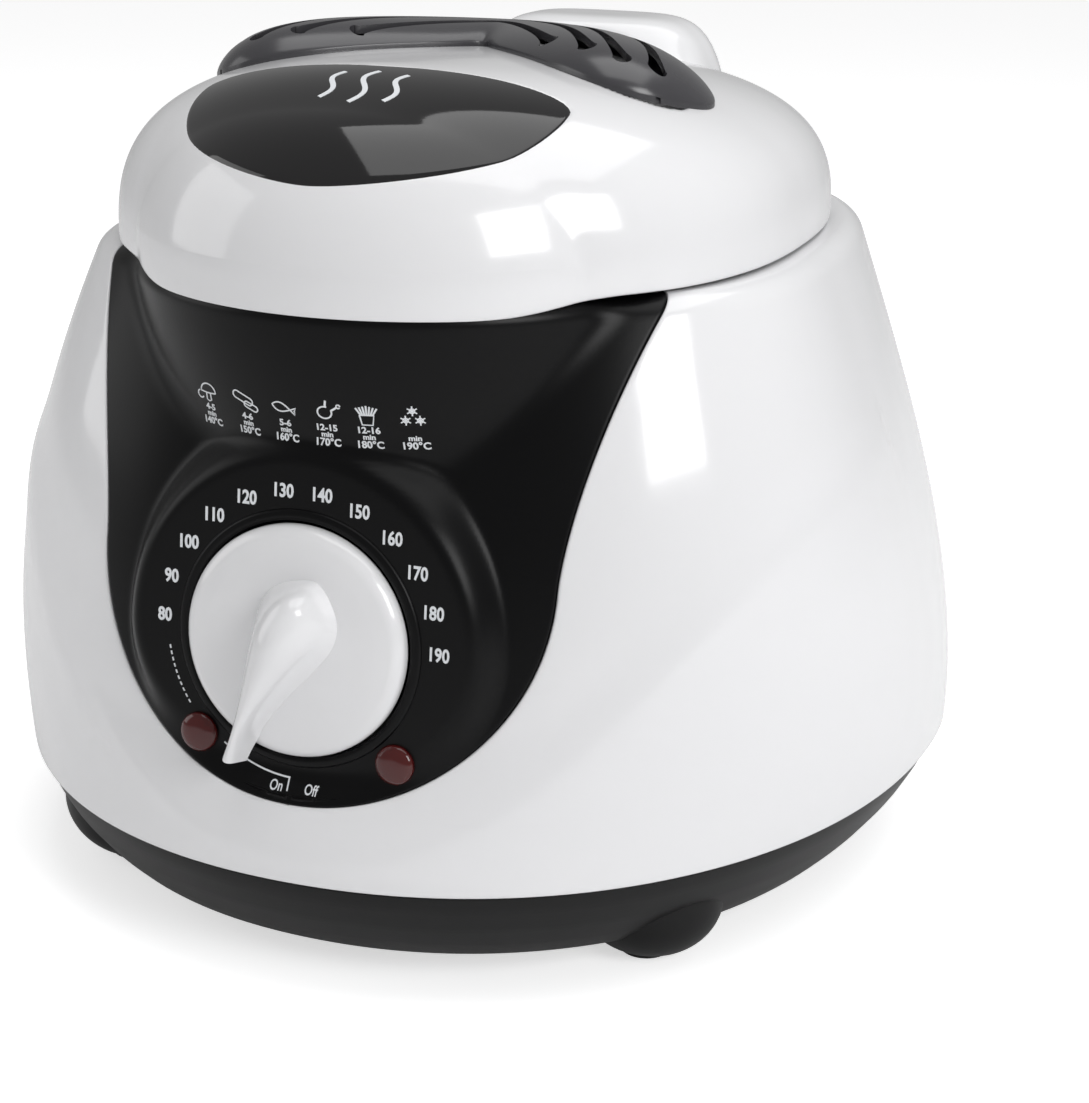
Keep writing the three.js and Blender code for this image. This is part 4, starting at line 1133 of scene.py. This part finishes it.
def make_filter():
    """A band along the vent's spine with a flat cap at its left end; the right end stays open."""
    along, across = np.meshgrid(np.linspace(-0.8, 0.8, 90), np.linspace(-0.5, 0.5, 14), indexing="ij")
    x = VENT_SPAN * along
    y = vent_spine(x) + VENT_HALF * across * np.sqrt(1 - (along / 0.81) ** 10)
    skin = lid_height(x * FORM, y * FORM)
    top, bottom = (points_at(x * FORM, y * FORM, skin - depth) for depth in (FELT_TOP, FELT_BOTTOM))
    sides = np.concatenate([top, bottom[:, ::-1]], 1)
    piece = surface("filter_pad", capped(sides)[:-1], closed=True, crease=0.7)
    face_out(piece.data)
    belongs(piece, "lid", "filter_wool", felt, "vent_filter")


make_filter()

# ---- inner pot ---------------------------------------------------------------------------------
# Drawn aluminium under a dark non-stick coat: flat floor, wide bend, wall that leans out and a
# flange with a rolled edge that lies in the deck's recess.
POT_TOP = DECK_Z - 1.6
POT_FLOOR = POT_TOP - 112
POT_WALL = 1.3


def about_pot(profile, count=160):
    """A (radius, height) profile turned about the pot's axis."""
    return lathe(profile, count) + (0, POT_Y, 0)


pot_coat = plastic("pot_coat", (0.045, 0.045, 0.048), (0.022, 0.022, 0.024), (0.32, 0.5), 700, 0.00004)


def make_pot():
    """One profile: out along the floor and up the wall, round the bead, and back down inside."""
    outer = soften([(0, POT_FLOOR), (66, POT_FLOOR), (77, POT_FLOOR + 2.6), (81, POT_FLOOR + 11),
                    (85.2, POT_TOP - 1), (85.2, POT_TOP), (90.8, POT_TOP)], 7, 8)
    bend = np.linspace(-math.pi / 2, math.pi / 2, 9)
    bead = np.stack([91.2 + 0.8 * np.cos(bend), POT_TOP + 0.75 + 0.75 * np.sin(bend)], 1)
    inner = soften([(90, POT_TOP + 1.3), (84, POT_TOP + 1.3), (84, POT_TOP), (79.6, POT_FLOOR + 12),
                    (75.6, POT_FLOOR + 4), (66, POT_FLOOR + POT_WALL), (0, POT_FLOOR + POT_WALL)], 7, 8)
    piece = surface("pot", about_pot(np.concatenate([outer, bead, inner])), closed=True)
    belongs(piece, "base", "pot_coating", pot_coat, "inner_pot")


make_pot()

# ---- frying basket -----------------------------------------------------------------------------
# A round bucket of woven wire with a heavier rim wire, standing on a wire ring with four legs on
# the pot's floor. Bright tinned steel wire throughout.
BASKET_RADIUS = 75.0
BASKET_FLOOR = 62.0
BASKET_HEIGHT = 68.0
BASKET_TOP = BASKET_FLOOR + BASKET_HEIGHT
UPRIGHTS = 72
MESH_WIRE = 0.45
STAND_RADIUS = 49.5


def metal(name, tone, deep, rough, streak_scale):
    """Drawn or pressed metal: fine streaks along one way in tone and roughness."""
    material, tree, shader = surface_shader(name)
    where = add_node(tree, "TexCoord")
    stretch = add_node(tree, "Mapping", Scale=streak_scale)
    streaks = add_node(tree, "TexNoise", Scale=60, Detail=5)
    tone_mix = add_node(tree, "Mix", A=(*tone, 1), B=(*deep, 1))
    gloss = add_node(tree, "MapRange", To_Min=rough[0], To_Max=rough[1])
    bump = add_node(tree, "Bump", Distance=0.00001)
    join(
        tree,
        (where, "Object", stretch, "Vector"),
        (stretch, "Vector", streaks, "Vector"),
        (streaks, "Fac", tone_mix, "Factor"),
        (tone_mix, "Result", shader, "Base Color"),
        (streaks, "Fac", gloss, "Value"),
        (gloss, "Result", shader, "Roughness"),
        (streaks, "Fac", bump, "Height"),
        (bump, "Normal", shader, "Normal"),
    )
    set_inputs(shader, Metallic=1)
    return material


bright_wire = metal("bright_wire", (0.72, 0.72, 0.73), (0.55, 0.55, 0.57), (0.12, 0.22), (1, 1, 8))


def wire(path, radius, closed=False, sides=8):
    """A round wire along a path of points, as (points, faces), with flat ends unless closed."""
    path = np.asarray(path, float)
    ahead = heading(path, closed)
    side = np.cross(ahead, (1.0, 0, 0) if abs(ahead[0, 2]) > 0.9 else (0, 0, 1.0))
    side /= np.linalg.norm(side, axis=1)[:, None]
    other = np.cross(side, ahead)
    turn = full_turn(sides)[:, None]
    section = radius * (np.cos(turn) * side[:, None] + np.sin(turn) * other[:, None])
    return swept(path[:, None] + section, closed)


def hoop(radius, height, thick, sides=8, ripple=0.0, waves=0):
    """A wire ring about the pot's axis, waving in and out where it is woven."""
    turn = full_turn(4 * waves or 192)
    path = around(radius + ripple * np.cos(waves * turn), turn, height, y=POT_Y)
    return wire(path, thick, True, sides)


def wires(name, parts, *nodes, body="basket"):
    """Several wires as one smooth object."""
    points, faces = gather(parts)
    piece = place_mesh(name, points, faces, weld=False, crease=0.9)
    belongs(piece, body, "chrome_wire", bright_wire, *nodes)


def make_basket():
    """Upright wires, every second one from nearer the floor's middle, and hoops spaced along the
    bucket's profile; then the rim wire and the stand."""
    wall = soften([(0, BASKET_FLOOR + 0.8), (63, BASKET_FLOOR + 0.8), (69.5, BASKET_FLOOR + 5),
                   (74.2, BASKET_TOP - 0.5)], 9, 10)
    run = np.concatenate([[0], np.cumsum(np.hypot(*np.diff(wall, axis=0).T))])

    def on_wall(place):
        return np.interp(place, run, wall[:, 0]), np.interp(place, run, wall[:, 1])

    mesh = []
    for k in range(UPRIGHTS):
        reach, level = on_wall(np.linspace(8 if k % 2 else 30, run[-1], 34))
        mesh.append(wire(around(reach, 2 * math.pi * k / UPRIGHTS, level, y=POT_Y), MESH_WIRE, sides=6))
    for place in np.linspace(10, run[-1] - 3, 24):
        mesh.append(hoop(*on_wall(place), MESH_WIRE, 6, 0.3, UPRIGHTS // 2))
    wires("basket_weave", mesh, "basket_mesh")
    wires("basket_rim_wire", [hoop(BASKET_RADIUS - 0.8, BASKET_TOP + 2.1, 1.8, 12)], "basket_rim")
    foot = POT_FLOOR + POT_WALL + 1.8
    heights = np.array([foot, BASKET_FLOOR - 0.3])
    legs = [wire(around(STAND_RADIUS, quarter * math.pi / 2, heights, y=POT_Y), 1.4) for quarter in range(4)]
    wires("basket_stand_wire", [hoop(STAND_RADIUS, foot, 1.5, 10)] + legs, "basket_stand")


make_basket()

# ---- basket handle -----------------------------------------------------------------------------
# Two ears on the basket's rim hold a pivot rod; a sleeve on it carries two wires and a moulded
# black grip, which hangs inside the basket and folds up to lift it out.
PIVOT_Y = POT_Y - 62
PIVOT_Z = BASKET_TOP - 5
EAR_X = 18
STEM_X = 11
SLEEVE = ((-15, 1.8), (-15, 3.2), (15, 3.2), (15, 1.8), (-15, 1.8))  # across, radius
GRIP_LOW, GRIP_HIGH = PIVOT_Z - 54, PIVOT_Z - 22

grip_black = plastic("grip_black", (0.012, 0.012, 0.0125), (0.008, 0.008, 0.0085), (0.4, 0.55), 500, 0.00003)


def make_handle():
    """Rod, ears and the wire between the ears; then the sleeve and stems; then the grip, a block
    whose sections are rounded boxes that shrink to both ends."""
    rod = wire([(x, PIVOT_Y, PIVOT_Z) for x in (-EAR_X, EAR_X)], 1.5, sides=14)
    bends = ((-7, 0.6), (-4, 0), (1.6, 0))
    ears = [wire([(x, PIVOT_Y + back, PIVOT_Z + up) for back, up in bends], 1.4, sides=10)
            for x in (-EAR_X, EAR_X)]
    x = np.arange(-EAR_X, EAR_X + 1, 3)
    bridge = wire(points_at(x, PIVOT_Y - 7 - 1.2 * (1 - (x / EAR_X) ** 2), PIVOT_Z + 0.6), 1.4, sides=10)
    wires("handle_pivot", [rod, *ears, bridge], "handle_mount")
    turn = full_turn(32)
    rings = [points_at(x, PIVOT_Y + r * np.cos(turn), PIVOT_Z + r * np.sin(turn)) for x, r in SLEEVE]
    sleeve = (np.concatenate(rings), grid_faces(len(rings), len(turn), closed=True).tolist())
    stems = [wire([(x, PIVOT_Y, PIVOT_Z - drop) for drop in (30, 2.2)], 1.6, sides=12)
             for x in (-STEM_X, STEM_X)]
    wires("handle_wires", [sleeve] + stems, "handle_frame", body="handle")
    level = np.sin(math.pi / 2 * np.linspace(-1, 1, 41))
    half = np.sqrt(np.maximum(1 - np.abs(level) ** 4, 0))
    c, s = (way(full_turn(64)) for way in (np.cos, np.sin))
    wide, deep = np.sign(c) * np.abs(c) ** 0.6, np.sign(s) * np.abs(s) ** 0.75
    height = (GRIP_LOW + GRIP_HIGH) / 2 + (GRIP_HIGH - GRIP_LOW) / 2 * level[:, None]
    grip = points_at(17 * half[:, None] * wide, PIVOT_Y + 3.5 * half[:, None] * deep, height)
    piece = surface("handle_grip_moulding", grip, closed=True)
    face_out(piece.data)
    belongs(piece, "handle", "black_plastic", grip_black, "handle_grip")


make_handle()

# ---- lid liner and seal ------------------------------------------------------------------------
# A pressed steel dish that keeps oil off the lid, with a flat rim, a ring of steam holes and a
# soft silicone seal under the rim.
LINER_RIM = LID_Z + 3.1
LINER_SHEET = 0.9
HOLES = 6
HOLE_RADIUS = 4
HOLE_RING = 30

pressed_steel = metal("pressed_steel", (0.6, 0.6, 0.61), (0.48, 0.48, 0.49), (0.25, 0.4), (14, 1, 1))
silicone = plastic("silicone", (0.55, 0.52, 0.45), (0.45, 0.43, 0.37), (0.55, 0.7), 500, 0.00001)


def drill_bit(turn):
    """An upright cylinder through the liner, at that turn about the pot's axis."""
    bit = bmesh.new()
    bmesh.ops.create_cone(bit, cap_ends=True, segments=32, depth=90 * MM,
                          radius1=HOLE_RADIUS * MM, radius2=HOLE_RADIUS * MM)
    bmesh.ops.translate(bit, verts=bit.verts, vec=in_frame(around(HOLE_RING, turn, 190, y=POT_Y)))
    mesh = bpy.data.meshes.new("drill")
    bit.to_mesh(mesh)
    bit.free()
    return put("drill", mesh)


def make_liner():
    """A sheet whose profile is a low dome with a flat rim, drilled with a ring of holes; and the
    seal, a lathed lip."""
    reach = np.concatenate([np.linspace(92, 83, 4), np.linspace(82.4, 4, 60)])
    rise = np.where(reach > 82.5, 0, 17 * np.sqrt(np.maximum(1 - (reach / 84) ** 2.4, 0)))
    top = np.stack([reach, LINER_RIM + LINER_SHEET + rise], 1)[::-1]
    under = np.stack([reach, LINER_RIM + rise], 1)
    crown = [(0, LINER_RIM + 17)]
    section = np.concatenate([[(0, LINER_RIM + 17 + LINER_SHEET)], top, under, crown])
    piece = surface("liner_dish", about_pot(section, 240), closed=True)
    face_out(piece.data)
    cut_away(piece, (drill_bit(2 * math.pi * hole / HOLES) for hole in range(HOLES)))
    belongs(piece, "lid", "steel", pressed_steel, "lid_liner")
    corners = ((88, 2.8), (90.5, 2.8), (90.5, 0.9), (88, 0.2), (85.5, 0.9), (85.5, 2.8), (88, 2.8))
    lip = soften([(radius, LID_Z + height) for radius, height in corners], 0.7)
    seal = surface("lid_seal", about_pot(lip), closed=True)
    face_out(seal.data)
    belongs(seal, "lid", "silicone", silicone, "lid_gasket")


make_liner()

# ---- feet and cord gland -----------------------------------------------------------------------
# Four soft rubber pads in the pods' pockets, each a flat disc with a rounded edge, and the ribbed
# rubber bush in the back wall through which the mains lead leaves.
PAD_TOP = -34.3
GLAND_X, GLAND_Z = 34, -14

rubber = plastic("rubber", (0.022, 0.022, 0.022), (0.015, 0.015, 0.015), (0.75, 0.9), 900, 0.00003)


def make_pads():
    """A lathed disc with rounded edges for each pod."""
    section = soften([(0, -RIM), (7.2, -RIM), (8, -RIM + 0.8), (8, PAD_TOP), (0, PAD_TOP)], 0.6)
    for number, (x, y) in enumerate(PODS, 1):
        pad = surface("rubber_pad_%d" % number, lathe(section, 48) + (x, y, 0), closed=True)
        belongs(pad, "base", "rubber", rubber, "foot_pad_%d" % number)


def make_gland():
    """A grooved sleeve, lathed upright and laid along the depth."""
    section = soften([(3.6, 94.5), (8, 94.5), (8, 97.6), (6, 97.6), (6, 108.5), (9, 108.5),
                      (9, 110.6), (7.8, 112), (3.6, 112), (3.6, 94.5)], 0.5)
    turned = lathe(section, 64)
    grid = points_at(GLAND_X + turned[..., 0], turned[..., 2], GLAND_Z + turned[..., 1])
    bush = surface("gland_bush", grid, closed=True)
    face_out(bush.data)
    belongs(bush, "base", "rubber", rubber, "cord_gland")


make_pads()
make_gland()

# ---- pieces inside, as the frame holds them ----------------------------------------------------
# Heating element, thermostat, lamps, screws and hinge keep the shapes in the frame and get their
# metals, ceramics and glass here.
ceramic = plastic("ceramic", (0.7, 0.65, 0.55), (0.6, 0.55, 0.46), (0.6, 0.8), 800, 0.00003)
lamp_glass = plastic("lamp_glass", (0.7, 0.4, 0.25), (0.55, 0.28, 0.16), (0.05, 0.1), 300, 0.00001)

finishes = {
    "white_plastic": white_gloss, "black_plastic": black_satin, "gloss_black": black_gloss,
    "dark_plastic": grey_satin, "rubber": rubber, "silicone": silicone, "red_lens": red_dye,
    "lamp_glass": lamp_glass, "steel": pressed_steel, "ceramic": ceramic, "pot_coating": pot_coat,
    "filter_wool": felt, "chrome_wire": bright_wire,
}
slot_of = {entry["node"]: entry["material_slot"] for entry in frame["record"]["subparts"]}
for node, solid in frame["nodes"].items():
    for place in solid.material_slots:
        place.material = finishes[slot_of[node]]
